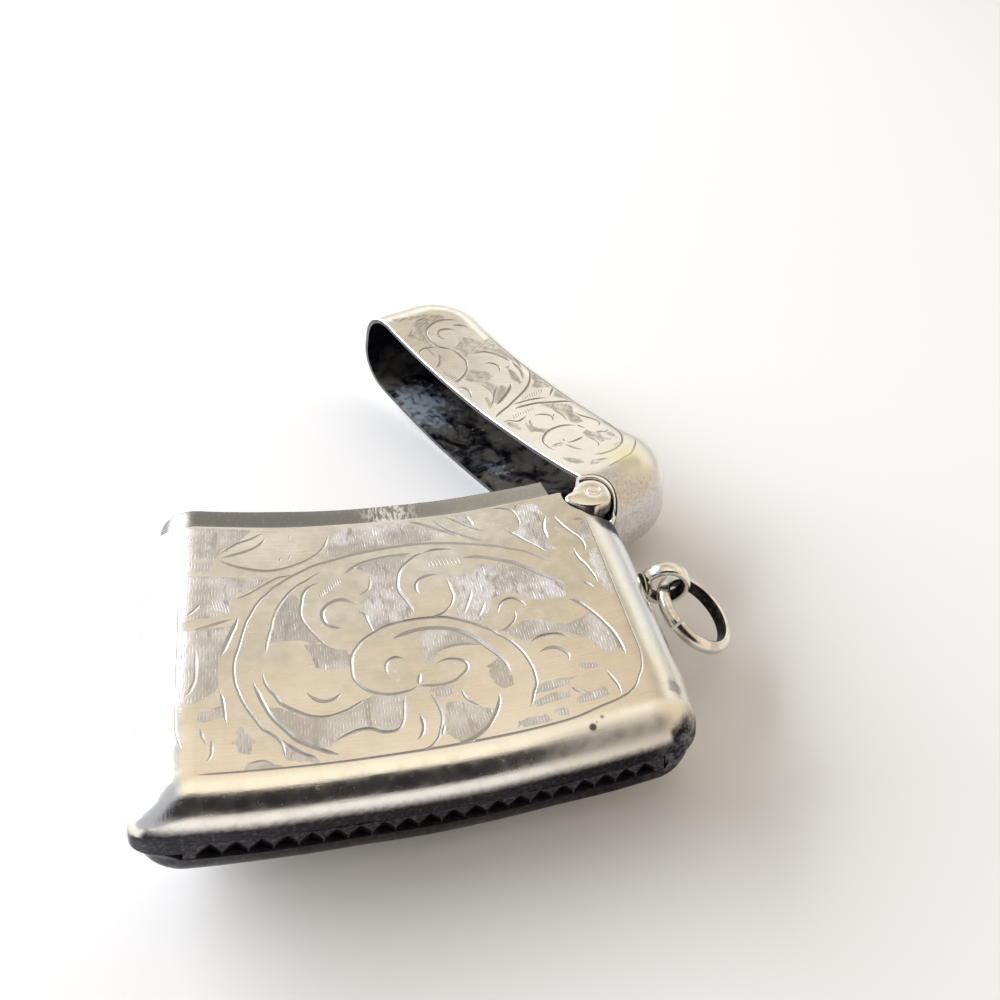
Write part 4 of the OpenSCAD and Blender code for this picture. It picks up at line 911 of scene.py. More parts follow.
# ------------------------------------------------------------------ materials
class Mat:
    """Small helper that keeps node code readable."""

    def __init__(self, name):
        self.m = bpy.data.materials.new(name)
        self.m.use_nodes = True
        self.t = self.m.node_tree
        self.b = self.t.nodes["Principled BSDF"]
        self.pos = self.t.nodes.new("ShaderNodeTexCoord").outputs["Object"]

    def new(self, kind, **kw):
        n = self.t.nodes.new(kind)
        for k, v in kw.items():
            setattr(n, k, v)
        return n

    def link(self, a, b):
        self.t.links.new(a, b)

    def scaled(self, s):
        n = self.new("ShaderNodeVectorMath", operation="MULTIPLY")
        self.link(self.pos, n.inputs[0])
        n.inputs[1].default_value = s if not np.isscalar(s) else (s, s, s)
        return n.outputs[0]

    def noise(self, scale, detail=4.0, rough=0.55, stretch=(1, 1, 1), distort=0.0):
        n = self.new("ShaderNodeTexNoise")
        self.link(self.scaled(tuple(1000.0 * scale * s for s in stretch)), n.inputs["Vector"])
        n.inputs["Scale"].default_value = 1.0
        n.inputs["Detail"].default_value = detail
        n.inputs["Roughness"].default_value = rough
        n.inputs["Distortion"].default_value = distort
        return n.outputs["Fac"]

    def rng(self, v, a, b, lo=0.0, hi=1.0, smooth=True):
        n = self.new("ShaderNodeMapRange", interpolation_type="SMOOTHSTEP" if smooth else "LINEAR")
        self.link(v, n.inputs["Value"])
        n.inputs["From Min"].default_value = a
        n.inputs["From Max"].default_value = b
        n.inputs["To Min"].default_value = lo
        n.inputs["To Max"].default_value = hi
        return n.outputs["Result"]

    def math(self, op, a, b=None, clamp=False):
        n = self.new("ShaderNodeMath", operation=op, use_clamp=clamp)
        for i, v in enumerate((a, b)):
            if v is None:
                continue
            if isinstance(v, (int, float)):
                n.inputs[i].default_value = v
            else:
                self.link(v, n.inputs[i])
        return n.outputs[0]

    def mix(self, f, a, b):
        n = self.new("ShaderNodeMix", data_type="RGBA")
        for s, v in ((n.inputs["Factor"], f), (n.inputs["A"], a), (n.inputs["B"], b)):
            if isinstance(v, (int, float)):
                s.default_value = v
            elif isinstance(v, tuple):
                s.default_value = (*v, 1.0)
            else:
                self.link(v, s)
        return n.outputs["Result"]

    def attr(self, name):
        return self.new("ShaderNodeAttribute", attribute_name=name).outputs["Fac"]

    def axis(self, i):
        n = self.new("ShaderNodeSeparateXYZ")
        self.link(self.pos, n.inputs[0])
        return n.outputs[i]

    def near(self, p):
        """Distance in metres from a point given in millimetres."""
        n = self.new("ShaderNodeVectorMath", operation="DISTANCE")
        self.link(self.pos, n.inputs[0])
        n.inputs[1].default_value = tuple(v * MM for v in p)
        return n.outputs["Value"]

    def bump(self, height, strength, dist):
        n = self.new("ShaderNodeBump")
        n.inputs["Strength"].default_value = strength
        n.inputs["Distance"].default_value = dist
        self.link(height, n.inputs["Height"])
        self.link(n.outputs["Normal"], self.b.inputs["Normal"])

    def done(self, color, rough, metallic=1.0):
        self.link(color, self.b.inputs["Base Color"])
        self.link(rough, self.b.inputs["Roughness"])
        if isinstance(metallic, (int, float)):
            self.b.inputs["Metallic"].default_value = metallic
        else:
            self.link(metallic, self.b.inputs["Metallic"])
        return self.m


def scratches(M, strength):
    a = M.noise(0.9, 3, 0.6, (9.0, 0.35, 1.0), 0.3)
    b = M.noise(0.8, 3, 0.6, (0.4, 7.0, 1.0), 0.4)
    c = M.noise(6.0, 2, 0.5)
    s = M.math("ADD", M.math("ADD", a, b), M.math("MULTIPLY", c, 0.5))
    M.bump(s, strength, 0.00006)


def engraved(name, soot_and_shade, ground_tones, cut_tone):
    M = Mat(name)
    big = M.noise(0.11, 3, 0.5)
    fine = M.noise(0.9, 5, 0.6)
    col = M.mix(M.rng(big, 0.35, 0.68), (0.94, 0.92, 0.87), (0.89, 0.85, 0.775))
    col = M.mix(M.math("MULTIPLY", M.rng(fine, 0.5, 0.75), 0.35), col, (0.82, 0.80, 0.77))
    if soot_and_shade:
        # painted reflections: darker and warmer towards the right, brighter cream towards the left, bluish along the
        # far left edge, and a grey-blue sheen on the right roll
        col = M.mix(M.math("MULTIPLY", M.rng(M.axis(0), 0.003, 0.017), 0.85), col, (0.76, 0.70, 0.585))
        col = M.mix(M.math("MULTIPLY", M.rng(M.axis(0), -0.002, -0.014), 0.5), col, (0.98, 0.92, 0.82))
        col = M.mix(M.rng(M.axis(0), -0.0181, -0.0187), col, (0.62, 0.67, 0.77))
        cool_reflection = M.math("MULTIPLY", M.rng(M.axis(0), 0.0150, 0.0166), M.rng(M.axis(1), 0.004, 0.010))
        col = M.mix(M.math("MULTIPLY", cool_reflection, 0.85), col, (0.77, 0.80, 0.80))
    else:
        # painted shade: the lid darkens towards its hinge end
        col = M.mix(M.math("MULTIPLY", M.rng(M.axis(1), 0.050, 0.036), 0.55), col, (0.70, 0.68, 0.645))
    ground = M.attr("ground")
    cut = M.attr("cut")
    spots = M.rng(M.noise(2.6, 3, 0.6), 0.64, 0.74)
    patch = M.noise(0.30, 4, 0.6)
    col = M.mix(M.math("MULTIPLY", M.rng(patch, 0.46, 0.66), 0.40), col, (0.76, 0.735, 0.69))
    gtone = M.mix(M.rng(M.noise(0.26, 3, 0.6), 0.42, 0.60), ground_tones[0], ground_tones[1])
    gtone = M.mix(M.rng(M.noise(0.9, 3, 0.6, (1.6, 0.5, 1.0)), 0.52, 0.68), gtone, ground_tones[2])
    if soot_and_shade:
        gtone = M.mix(M.math("MULTIPLY", M.rng(M.axis(1), 0.016, 0.006), 0.45), gtone, (0.53, 0.49, 0.42))
    gtone = M.mix(M.math("MULTIPLY", cut, 0.3 if soot_and_shade else 0.6), gtone, cut_tone)
    col = M.mix(M.math("MULTIPLY", ground, 0.92), col, gtone)
    col = M.mix(M.math("MULTIPLY", M.math("MULTIPLY", cut, M.math("SUBTRACT", 1.0, ground)), 0.80), col, cut_tone)
    if soot_and_shade:
        # painted highlight: the left roll lightened towards white
        col = M.mix(M.math("MULTIPLY", M.rng(M.axis(0), -0.012, -0.0165), 0.35), col, (0.93, 0.91, 0.88))
    rough = M.rng(fine, 0.3, 0.75, 0.17, 0.28)
    rough = M.math("ADD", rough, M.math("MULTIPLY", ground, 0.16))
    rough = M.math("ADD", rough, M.math("MULTIPLY", cut, 0.26))
    rough = M.math("ADD", rough, M.math("MULTIPLY", spots, 0.12))
    if soot_and_shade:
        # the base roll is rubbed dull towards the ring side
        rub = M.math("MULTIPLY", M.rng(M.axis(0), 0.002, 0.0135), M.rng(M.axis(1), 0.0028, 0.0018))
        rub = M.math("MULTIPLY", rub, M.rng(M.noise(0.5, 4, 0.6), 0.25, 0.6, 0.65, 1.0))
        rough = M.math("ADD", rough, M.math("MULTIPLY", rub, 0.34))
        col = M.mix(M.math("MULTIPLY", rub, 0.6), col, (0.95, 0.88, 0.77))
        # painted shade and reflection at the base end and below the hinge ear, with some real blackening, in a mottled
        # near-black
        edge = M.math("ADD", M.attr("soot_and_shade"), M.math("MULTIPLY", M.math("SUBTRACT", M.noise(2.2, 4, 0.65), 0.5), 0.35))
        dark = M.rng(edge, 0.05, 0.80)
        mott = M.noise(3.0, 6, 0.72)
        tone = M.mix(M.rng(mott, 0.46, 0.76), (0.016, 0.015, 0.019), (0.12, 0.115, 0.135))
        worn_end = M.math("MULTIPLY", M.rng(M.axis(0), 0.0135, 0.0175), M.rng(M.noise(1.3, 6, 0.7), 0.40, 0.62))
        worn_end = M.math("MULTIPLY", worn_end, M.rng(M.axis(1), 0.009, 0.005))
        tone = M.mix(M.math("MULTIPLY", worn_end, 0.75), tone, (0.36, 0.35, 0.36))
    else:
        # the hinge end of the lid: painted shadow between lid and hinge, mottled with stains, and rubbed
        low = M.rng(M.axis(1), 0.0290, 0.0250)
        edge = M.math("ADD", low, M.math("MULTIPLY", M.math("SUBTRACT", M.noise(0.5, 5, 0.65), 0.5), 0.9))
        dark = M.math("MULTIPLY", M.rng(edge, 0.30, 1.05), 0.62)
        mott = M.noise(4.0, 6, 0.72)
        tone = M.mix(M.rng(mott, 0.36, 0.60), (0.33, 0.315, 0.305), (0.64, 0.62, 0.605))
        # painted reflection: an olive-yellow patch on the lid face near the hinge end
        col = M.mix(M.math("MULTIPLY", M.rng(M.near((21.0, 28.4, 5.0)), 0.0030, 0.0006), 0.75), col, (0.78, 0.73, 0.46))
    col = M.mix(dark, col, tone)
    rough = M.math("ADD", rough, M.math("MULTIPLY", dark, 0.20))
    if soot_and_shade:
        blot = M.math("ADD", M.near((16.75, 3.4, 5.45)), M.math("MULTIPLY", M.math("SUBTRACT", M.noise(1.4, 4, 0.65), 0.5), 0.0016))
        col = M.mix(M.math("MULTIPLY", M.rng(blot, 0.0009, 0.0003), 0.6), col, (0.17, 0.165, 0.175))
        for p, r in (((10.26, 1.60, 5.0), 0.30), ((11.04, 2.13, 5.1), 0.24), ((10.6, 1.86, 5.05), 0.15)):
            col = M.mix(M.math("MULTIPLY", M.rng(M.near(p), r * 0.00115, r * 0.00055), 0.9), col, (0.05, 0.045, 0.04))
    scratches(M, 0.10)
    return M.done(col, rough)


def plain(name, a=(0.88, 0.84, 0.75), b=(0.74, 0.70, 0.63), rough=(0.14, 0.30), tarnish=0.35):
    M = Mat(name)
    big = M.noise(0.35, 4, 0.55)
    fine = M.noise(1.7, 5, 0.6)
    col = M.mix(M.rng(big, 0.38, 0.66), a, b)
    dark = M.math("MULTIPLY", M.rng(M.noise(0.8, 5, 0.65, distort=0.6), 0.56, 0.74), tarnish)
    col = M.mix(dark, col, (0.30, 0.26, 0.24))
    r = M.rng(fine, 0.3, 0.72, rough[0], rough[1])
    r = M.math("ADD", r, M.math("MULTIPLY", dark, 0.3))
    scratches(M, 0.14)
    return M.done(col, r)


def tarnished(name, tones, rough=(0.25, 0.5), scale=0.34, metal=1.0):
    M = Mat(name)
    a = M.noise(scale, 6, 0.62, distort=0.8)
    b = M.noise(scale * 2.7, 5, 0.65, distort=0.5)
    c = M.noise(scale * 7, 4, 0.6)
    col = M.mix(M.rng(a, 0.38, 0.60), tones[0], tones[1])
    col = M.mix(M.rng(b, 0.50, 0.68), col, tones[2])
    col = M.mix(M.math("MULTIPLY", M.rng(c, 0.58, 0.72), 0.6), col, tones[3])
    r = M.rng(b, 0.3, 0.7, rough[0], rough[1])
    M.bump(M.math("ADD", b, M.math("MULTIPLY", c, 0.5)), 0.25, 0.00006)
    return M.done(col, r, metal)


m_body = engraved("engraved_silver_body", True, ((0.50, 0.475, 0.46), (0.74, 0.735, 0.765), (0.40, 0.375, 0.36)), (0.29, 0.275, 0.26))
m_lid = engraved("engraved_silver_lid", False, ((0.58, 0.55, 0.50), (0.76, 0.735, 0.69), (0.48, 0.45, 0.405)), (0.20, 0.18, 0.155))
m_rim = plain("silver_edges", (0.19, 0.19, 0.195), (0.14, 0.14, 0.145), (0.28, 0.42), 0.2)
m_lip = plain("silver_lips", (0.93, 0.91, 0.86), (0.84, 0.82, 0.77), (0.10, 0.22), 0.15)
m_in_body = tarnished("inside_body", ((0.05, 0.05, 0.07), (0.13, 0.12, 0.13), (0.22, 0.20, 0.19), (0.30, 0.29, 0.30)))


def lid_inside():
    """Blue-black tarnish with grey-blue and olive bloom on the rear wall."""
    M = Mat("inside_lid")
    a = M.noise(0.20, 5, 0.6, distort=0.9)
    b = M.noise(0.34, 6, 0.65, distort=0.7)
    c = M.noise(1.5, 5, 0.65)
    rear = M.rng(M.axis(2), 0.0012, -0.0012)
    col = M.mix(M.rng(c, 0.4, 0.7), (0.012, 0.013, 0.026), (0.035, 0.036, 0.055))
    olive = M.math("MULTIPLY", M.rng(b, 0.38, 0.58), rear)
    col = M.mix(M.math("MULTIPLY", olive, 0.9), col, (0.185, 0.168, 0.14))
    spot = M.math("MAXIMUM", M.rng(M.near((6.0, 49.6, -2.8)), 0.0058, 0.0014), M.math("MULTIPLY", M.rng(M.near((12.2, 39.5, -2.8)), 0.0030, 0.0006), 0.8))
    spread = M.math("ADD", M.math("MULTIPLY", spot, 0.30), M.math("ADD", M.math("MULTIPLY", a, 0.6), M.math("MULTIPLY", c, 0.7)))
    bloom = M.math("MULTIPLY", M.rng(spread, 0.76, 1.02), rear)
    col = M.mix(bloom, col, (0.42, 0.475, 0.55))
    speck = M.rng(M.noise(2.6, 2, 0.5), 0.70, 0.75)
    col = M.mix(M.math("MULTIPLY", speck, 0.8), col, (0.55, 0.52, 0.46))
    crust = M.math("MAXIMUM", M.math("MAXIMUM", bloom, M.math("MULTIPLY", olive, 0.8)), speck)
    M.bump(M.math("ADD", b, M.math("MULTIPLY", c, 0.5)), 0.2, 0.00006)
    return M.done(col, M.rng(c, 0.3, 0.7, 0.30, 0.55), M.math("SUBTRACT", 0.9, M.math("MULTIPLY", crust, 0.85)))


m_in_lid = lid_inside()
m_plain = plain("plain_silver")


def ear_silver():
    """Plain silver, each plate's flank darker on its half towards the middle of the case."""
    M = Mat("ear_silver")
    big = M.noise(0.35, 4, 0.55)
    fine = M.noise(1.7, 5, 0.6)
    col = M.mix(M.rng(big, 0.38, 0.66), (0.88, 0.84, 0.75), (0.74, 0.70, 0.63))
    flank = M.math("MULTIPLY", M.rng(M.axis(2), 0.0058, 0.0052), M.rng(M.axis(2), -0.0021, -0.0015))
    flank = M.math("MULTIPLY", flank, M.rng(fine, 0.2, 0.6, 0.75, 1.0))
    col = M.mix(flank, col, (0.13, 0.12, 0.115))
    r = M.rng(fine, 0.3, 0.72, 0.14, 0.30)
    r = M.math("ADD", r, M.math("MULTIPLY", flank, 0.2))
    scratches(M, 0.14)
    return M.done(col, r)


m_ear = ear_silver()


def collar_silver():
    """Dull sheet of the collar, darker towards the left end, one rubbed patch."""
    M = Mat("collar_silver")
    n = M.noise(0.30, 4, 0.6)
    fine = M.noise(1.6, 5, 0.6, (3.0, 0.8, 1.0))
    along = M.math("ADD", M.axis(0), M.math("MULTIPLY", M.math("SUBTRACT", n, 0.5), 0.010))
    col = M.mix(M.rng(along, -0.009, 0.016), (0.19, 0.187, 0.182), (0.37, 0.356, 0.328))
    d = M.math("ABSOLUTE", M.math("SUBTRACT", M.axis(0), -0.0002))
    rub = M.math("MULTIPLY", M.rng(d, 0.0030, 0.0005), M.rng(fine, 0.42, 0.60))
    col = M.mix(M.math("MULTIPLY", rub, 0.8), col, (0.92, 0.91, 0.90))
    col = M.mix(M.math("MULTIPLY", M.rng(fine, 0.52, 0.75), 0.35), col, (0.36, 0.34, 0.32))
    scratches(M, 0.12)
    return M.done(col, M.rng(fine, 0.3, 0.72, 0.24, 0.36))


m_collar = collar_silver()
m_dark = tarnished("dark_silver", ((0.10, 0.09, 0.09), (0.20, 0.18, 0.18), (0.34, 0.31, 0.30), (0.48, 0.45, 0.43)), scale=0.6)


def striker_black():
    """Burnt end strip: grey on the ridges, black in the grooves from burnt residue and painted shade."""
    M = Mat("striker_black")
    mott = M.noise(3.0, 6, 0.72)
    col = M.mix(M.rng(mott, 0.42, 0.74), (0.030, 0.027, 0.033), (0.20, 0.185, 0.20))
    grime_and_shade = M.math("ADD", M.attr("groove"), M.math("MULTIPLY", M.math("SUBTRACT", M.noise(2.4, 4, 0.6), 0.5), 0.6))
    col = M.mix(M.rng(grime_and_shade, 0.15, 0.75), col, (0.006, 0.005, 0.007))
    M.bump(mott, 0.3, 0.00006)
    return M.done(col, M.rng(mott, 0.3, 0.7, 0.45, 0.7))


m_striker = striker_black()


def ring_silver():
    """Rubbed silver outside; where nothing rubs it, darker with old deposits and painted shade."""
    M = Mat("ring_silver")
    big = M.noise(0.6, 4, 0.55)
    fine = M.noise(2.2, 5, 0.6)
    col = M.mix(M.rng(big, 0.38, 0.66), (0.88, 0.85, 0.78), (0.62, 0.57, 0.50))
    dirt_and_shade = M.math("ADD", M.attr("grime_and_shade"), M.math("MULTIPLY", M.math("SUBTRACT", M.noise(1.1, 5, 0.65), 0.5), 0.8))
    dark = M.rng(dirt_and_shade, 0.18, 0.75)
    col = M.mix(dark, col, M.mix(M.rng(fine, 0.45, 0.7), (0.022, 0.019, 0.018), (0.10, 0.085, 0.075)))
    rough = M.math("ADD", M.rng(fine, 0.3, 0.7, 0.14, 0.28), M.math("MULTIPLY", dark, 0.22))
    scratches(M, 0.14)
    return M.done(col, rough)


m_ring = ring_silver()

# ------------------------------------------------------------------ shells
body_strokes = [Stroke(w, l, p) for w, l, p in BODY_LINES]
lid_strokes = [Stroke(w, l, p) for w, l, p in LID_LINES]
bf = body_sheet(1, body_strokes, BODY_GROUND, True)
bfi = body_sheet(1, [], [], False)
close_shell("vis_body_front", bf, bfi, "case", "body_front_shell", [m_body, m_in_body, m_rim])
br = body_sheet(-1, [], [], False)
close_shell("vis_body_rear", br, br, "case", "body_rear_shell", [m_body, m_in_body, m_rim])
lf = lid_sheet(1, lid_strokes, LID_GROUND, True)
lfi = lid_sheet(1, [], [], False)
close_shell("vis_lid_front", lf, lfi, "lid", "lid_front_shell", [m_lid, m_in_lid, m_rim], opened, turned)
lr = lid_sheet(-1, [], [], False)
close_shell("vis_lid_rear", lr, lr, "lid", "lid_rear_shell", [m_lid, m_in_lid, m_rim], opened, turned)


# ------------------------------------------------------------------ collar
def around(d, s):
    """Point of the case's section, d inside its surface, at place s.

    s runs 0..1 over the front face from right to left, 1..2 round the left
    side and 2..3 over the rear face from left to right.
    """
    if s <= 1:
        return None, T / 2 - d
    if s >= 2:
        return None, -(T / 2 - d)
    a = (s - 1) * PI
    r = RS - d
    k = T / 2 - RS
    if a <= PI / 2:
        f = a
        return -(U0 + r * math.sin(f)), k + r * math.cos(f)
    return -(U0 + r * math.sin(a)), -k + r * math.cos(a)


def make_collar():
    yt = H + 2.8
    prof = [(0.54, 21.0), (0.54, 23.6), (0.56, 24.3), (0.66, 24.52), (0.75, 24.66), (0.80, 25.6), (0.87, 26.6), (0.90, yt - 0.16), (0.92, yt - 0.05),
            (0.97, yt), (1.04, yt), (1.11, yt - 0.05), (1.15, yt - 0.17), (1.15, 25.4), (1.15, 23.5), (1.02, 23.3), (1.0, 21.0)]
    stations = list(np.linspace(0, 1, 40)) + list(np.linspace(1, 2, 30)[1:]) + list(np.linspace(2, 3, 40)[1:])
    verts, faces = [], []
    for s in stations:
        for d, y in prof:
            u, n = around(d, s)
            xe = 13.3 - max(0, y - H) * 0.12
            if u is None:
                ue = RM * math.asin(xe / (RM - n))
                f = s if s <= 1 else 3 - s
                u = ue + (-U0 - ue) * f
            P = bend(np.array([u]), np.array([y]), np.array([n]))[0]
            w = 0.02 * math.sin(0.7 * P[0] + 0.4 * P[2]) * (1 if y > H + 1 else 0.3)
            P[1] += w if y > yt - 0.4 else 0
            verts.append(P)
    k = len(prof)
    for i in range(len(stations) - 1):
        for j in range(k):
            a, b = i * k + j, i * k + (j + 1) % k
            faces.append((a, b, b + k, a + k))
    faces.append(tuple(range(k))[::-1])
    last = (len(stations) - 1) * k
    faces.append(tuple(range(last, last + k)))
    verts = np.array(verts)
    # outward check on one known face
    f = faces[7]
    n = np.cross(verts[f[1]] - verts[f[0]], verts[f[3]] - verts[f[0]])
    if n[2] < 0:
        faces = [g[::-1] for g in faces]
    ob = make_mesh("vis_collar", verts, faces, "case", [m_collar], node="mouth_collar")
    ob.data.set_sharp_from_angle(angle=math.radians(50))
    return ob


make_collar()


# ------------------------------------------------------------------ striker
def make_striker():
    us = np.linspace(-STRIKE_W, STRIKE_W, 421)
    ns = np.linspace(STRIKE_LO, STRIKE_HI, 19)
    pitch = 1.5
    verts, faces, black = [], [], []
    for n in ns:
        f = np.clip((0.80 - n) / 1.0, 0, 1) ** 0.8
        w = 0.04 + 0.78 * f
        dep = 0.43 * f
        for u in us:
            k = (u / pitch - 0.5)
            c = (round(k) + 0.5) * pitch
            if abs(c) > STRIKE_W - 0.5:
                d = 0.0
            else:
                d = max(0.0, dep * (1 - abs(u - c) / w))
            wear = 0.02 * math.sin(7.3 * u + 3 * n) * math.sin(2.9 * u - 5 * n)
            verts.append((u, n, max(0.0, d + wear + 0.012)))
            black.append(min(1.0, d / 0.12))
    nu, nn = len(us), len(ns)
    top = len(verts)
    pts = [worn(bend(np.array([u]), np.array([y]), np.array([n]))[0]) for u, n, y in verts]
    pts += [worn(bend(np.array([u]), np.array([0.515]), np.array([n]))[0]) for u, n, y in verts]
    for i in range(nn - 1):
        for j in range(nu - 1):
            a = i * nu + j
            faces.append((a, a + 1, a + nu + 1, a + nu))
            b = a + top
            faces.append((b, b + nu, b + nu + 1, b + 1))
    for j in range(nu - 1):
        faces.append((j, j + top, j + top + 1, j + 1))
        a = (nn - 1) * nu + j
        faces.append((a, a + 1, a + 1 + top, a + top))
    for i in range(nn - 1):
        a, b = i * nu, (i + 1) * nu
        faces.append((a, b, b + top, a + top))
        a, b = i * nu + nu - 1, (i + 1) * nu + nu - 1
        faces.append((a, a + top, b + top, b))
    ob = make_mesh("vis_striker", np.array(pts), faces, "case", [m_striker], attrs={"groove": ("POINT", black + [0.0] * top)}, node="striker_strip")
    ob.data.set_sharp_from_angle(angle=math.radians(28))


make_striker()

# ------------------------------------------------------------------ hinge
def swept(name, loops, closed, body, mat, node, attrs=None, sharp=40.0, cap=True):
    """Joins equal loops of points into one closed solid."""
    n, k = len(loops), len(loops[0])
    verts = np.array([p for l in loops for p in l])
    faces = []
    for i in range(n if closed else n - 1):
        for j in range(k):
            a, b = i * k + j, i * k + (j + 1) % k
            c, d = ((i + 1) % n) * k + (j + 1) % k, ((i + 1) % n) * k + j
            faces.append((a, b, c, d))
    if not closed and cap:
        faces.append(tuple(range(k))[::-1])
        faces.append(tuple(range((n - 1) * k, n * k)))
    vol = 0.0
    for f in faces:
        for q in range(1, len(f) - 1):
            vol += np.dot(verts[f[0]], np.cross(verts[f[q]], verts[f[q + 1]]))
    if vol < 0:
        faces = [f[::-1] for f in faces]
    ob = make_mesh(name, verts, faces, body, [mat], attrs=attrs, node=node)
    ob.data.set_sharp_from_angle(angle=math.radians(sharp))
    return ob


EAR_TOP = [(0, 1.36), (40, 1.40), (80, 1.44), (120, 1.48), (150, 1.58), (168, 1.72), (177, 1.82), (183, 2.30), (190, 2.62), (197, 2.68), (208, 2.54),
           (222, 2.28), (243, 2.03), (262, 1.87), (276, 1.81), (290, 1.76), (305, 1.70), (320, 1.62), (340, 1.46), (360, 1.36)]
EAR_FOOT = [(0, 1.69), (165, 1.69), (176, 1.84), (182, 2.5), (187, 2.76), (258, 2.76), (264, 2.5), (270, 1.84), (284, 1.69), (360, 1.69)]


def make_ear(name, node, z0, z1, flip):
    """Hinge plate: a tailed disc, its edge chamfered and its face a little domed."""
    loops = []
    for a in np.linspace(0, 360, 120, endpoint=False):
        rt = np.interp(a, [x[0] for x in EAR_TOP], [x[1] for x in EAR_TOP])
        rf = np.interp(a, [x[0] for x in EAR_FOOT], [x[1] for x in EAR_FOOT])
        c, s_ = math.cos(math.radians(a)), math.sin(math.radians(a))
        h = z1 - z0
        prof = [(0.605, 0), (rf - 0.05, 0), (rf, 0.06), (rf, 0.14), (rt + (rf - rt) * 0.35, h * 0.62), (rt + 0.02, h - 0.17), (rt - 0.05, h - 0.06),
                (rt - 0.17, h - 0.005), (1.05, h + 0.015), (0.75, h + 0.012), (0.655, h - 0.005), (0.605, h - 0.07)]
        loops.append([(HX + r * c, HY + r * s_, (z1 - z) if flip else (z0 + z)) for r, z in prof])
    swept(name, loops, True, "case", m_ear, node, sharp=38)


make_ear("vis_ear_front", "hinge_ear_front", 4.5, 6.0, False)
make_ear("vis_ear_rear", "hinge_ear_rear", -2.3, -0.8, True)


def make_pin():
    prof = [(0.0, -2.36), (0.30, -2.35), (0.50, -2.29), (0.585, -2.20), (0.60, -2.05), (0.60, 1.85), (0.60, 5.90), (0.592, 5.975), (0.56, 6.005), (0.30, 6.018), (0.0, 6.022)]
    k = 48
    verts = [(HX, HY, prof[0][1])]
    for r, z in prof[1:-1]:
        verts += [(HX + r * math.cos(2 * PI * i / k), HY + r * math.sin(2 * PI * i / k), z) for i in range(k)]
    verts.append((HX, HY, prof[-1][1]))
    faces = [(0, 1 + (i + 1) % k, 1 + i) for i in range(k)]
    for j in range(len(prof) - 3):
        a = 1 + j * k
        faces += [(a + i, a + (i + 1) % k, a + k + (i + 1) % k, a + k + i) for i in range(k)]
    a = 1 + (len(prof) - 3) * k
    faces += [(a + i, a + (i + 1) % k, len(verts) - 1) for i in range(k)]
    make_mesh("vis_pin", np.array(verts), faces, "case", [m_plain], node="hinge_pin")


make_pin()


def surface_z(x, side):
    """Height of the case's skin above a point of its section."""
    p = p_of_x(np.array([x]), side)
    return float(body_base(p, np.array([25.0]), side)[0, 2])


def make_guard():
    """Curled sheet of the lid that covers the knuckle, its edges rolled over."""
    loops = []
    for a in np.radians(np.linspace(5.0, 175.0, 90)):
        c, s_ = math.cos(a), math.sin(a)
        ri, ro = 1.9, 2.3
        zi, zo = surface_z(HX + ri * c, 1) - 0.03, surface_z(HX + ro * c, 1) - 0.03
        bi, bo = surface_z(HX + ri * c, -1) + 0.03, surface_z(HX + ro * c, -1) + 0.03
        prof = [(ri, bi + 0.12), (ri, 1.5), (ri, zi - 0.12), (ri + 0.03, zi - 0.03), (ri + 0.10, zi), ((ri + ro) / 2, (zi + zo) / 2 + 0.02), (ro - 0.10, zo + 0.01),
                (ro - 0.03, zo - 0.03), (ro, zo - 0.14), (ro, 1.5), (ro, bo + 0.14), (ro - 0.03, bo + 0.03), (ro - 0.10, bo), (ri + 0.10, bi), (ri + 0.03, bi + 0.03)]
        loops.append(opened(np.array([(HX + r * c, HY + r * s_, z) for r, z in prof])))
    swept("vis_guard", loops, False, "lid", m_lip, "lid_hinge_guard", sharp=50)


make_guard()


# ------------------------------------------------------------------ eye and ring
EYE = np.array((21.0, 15.85, 2.3))
EYE_AXIS = np.array((-math.sin(math.radians(12)), -math.cos(math.radians(12)), 0.0))
RING = np.array((22.97, 13.47, 0.85))


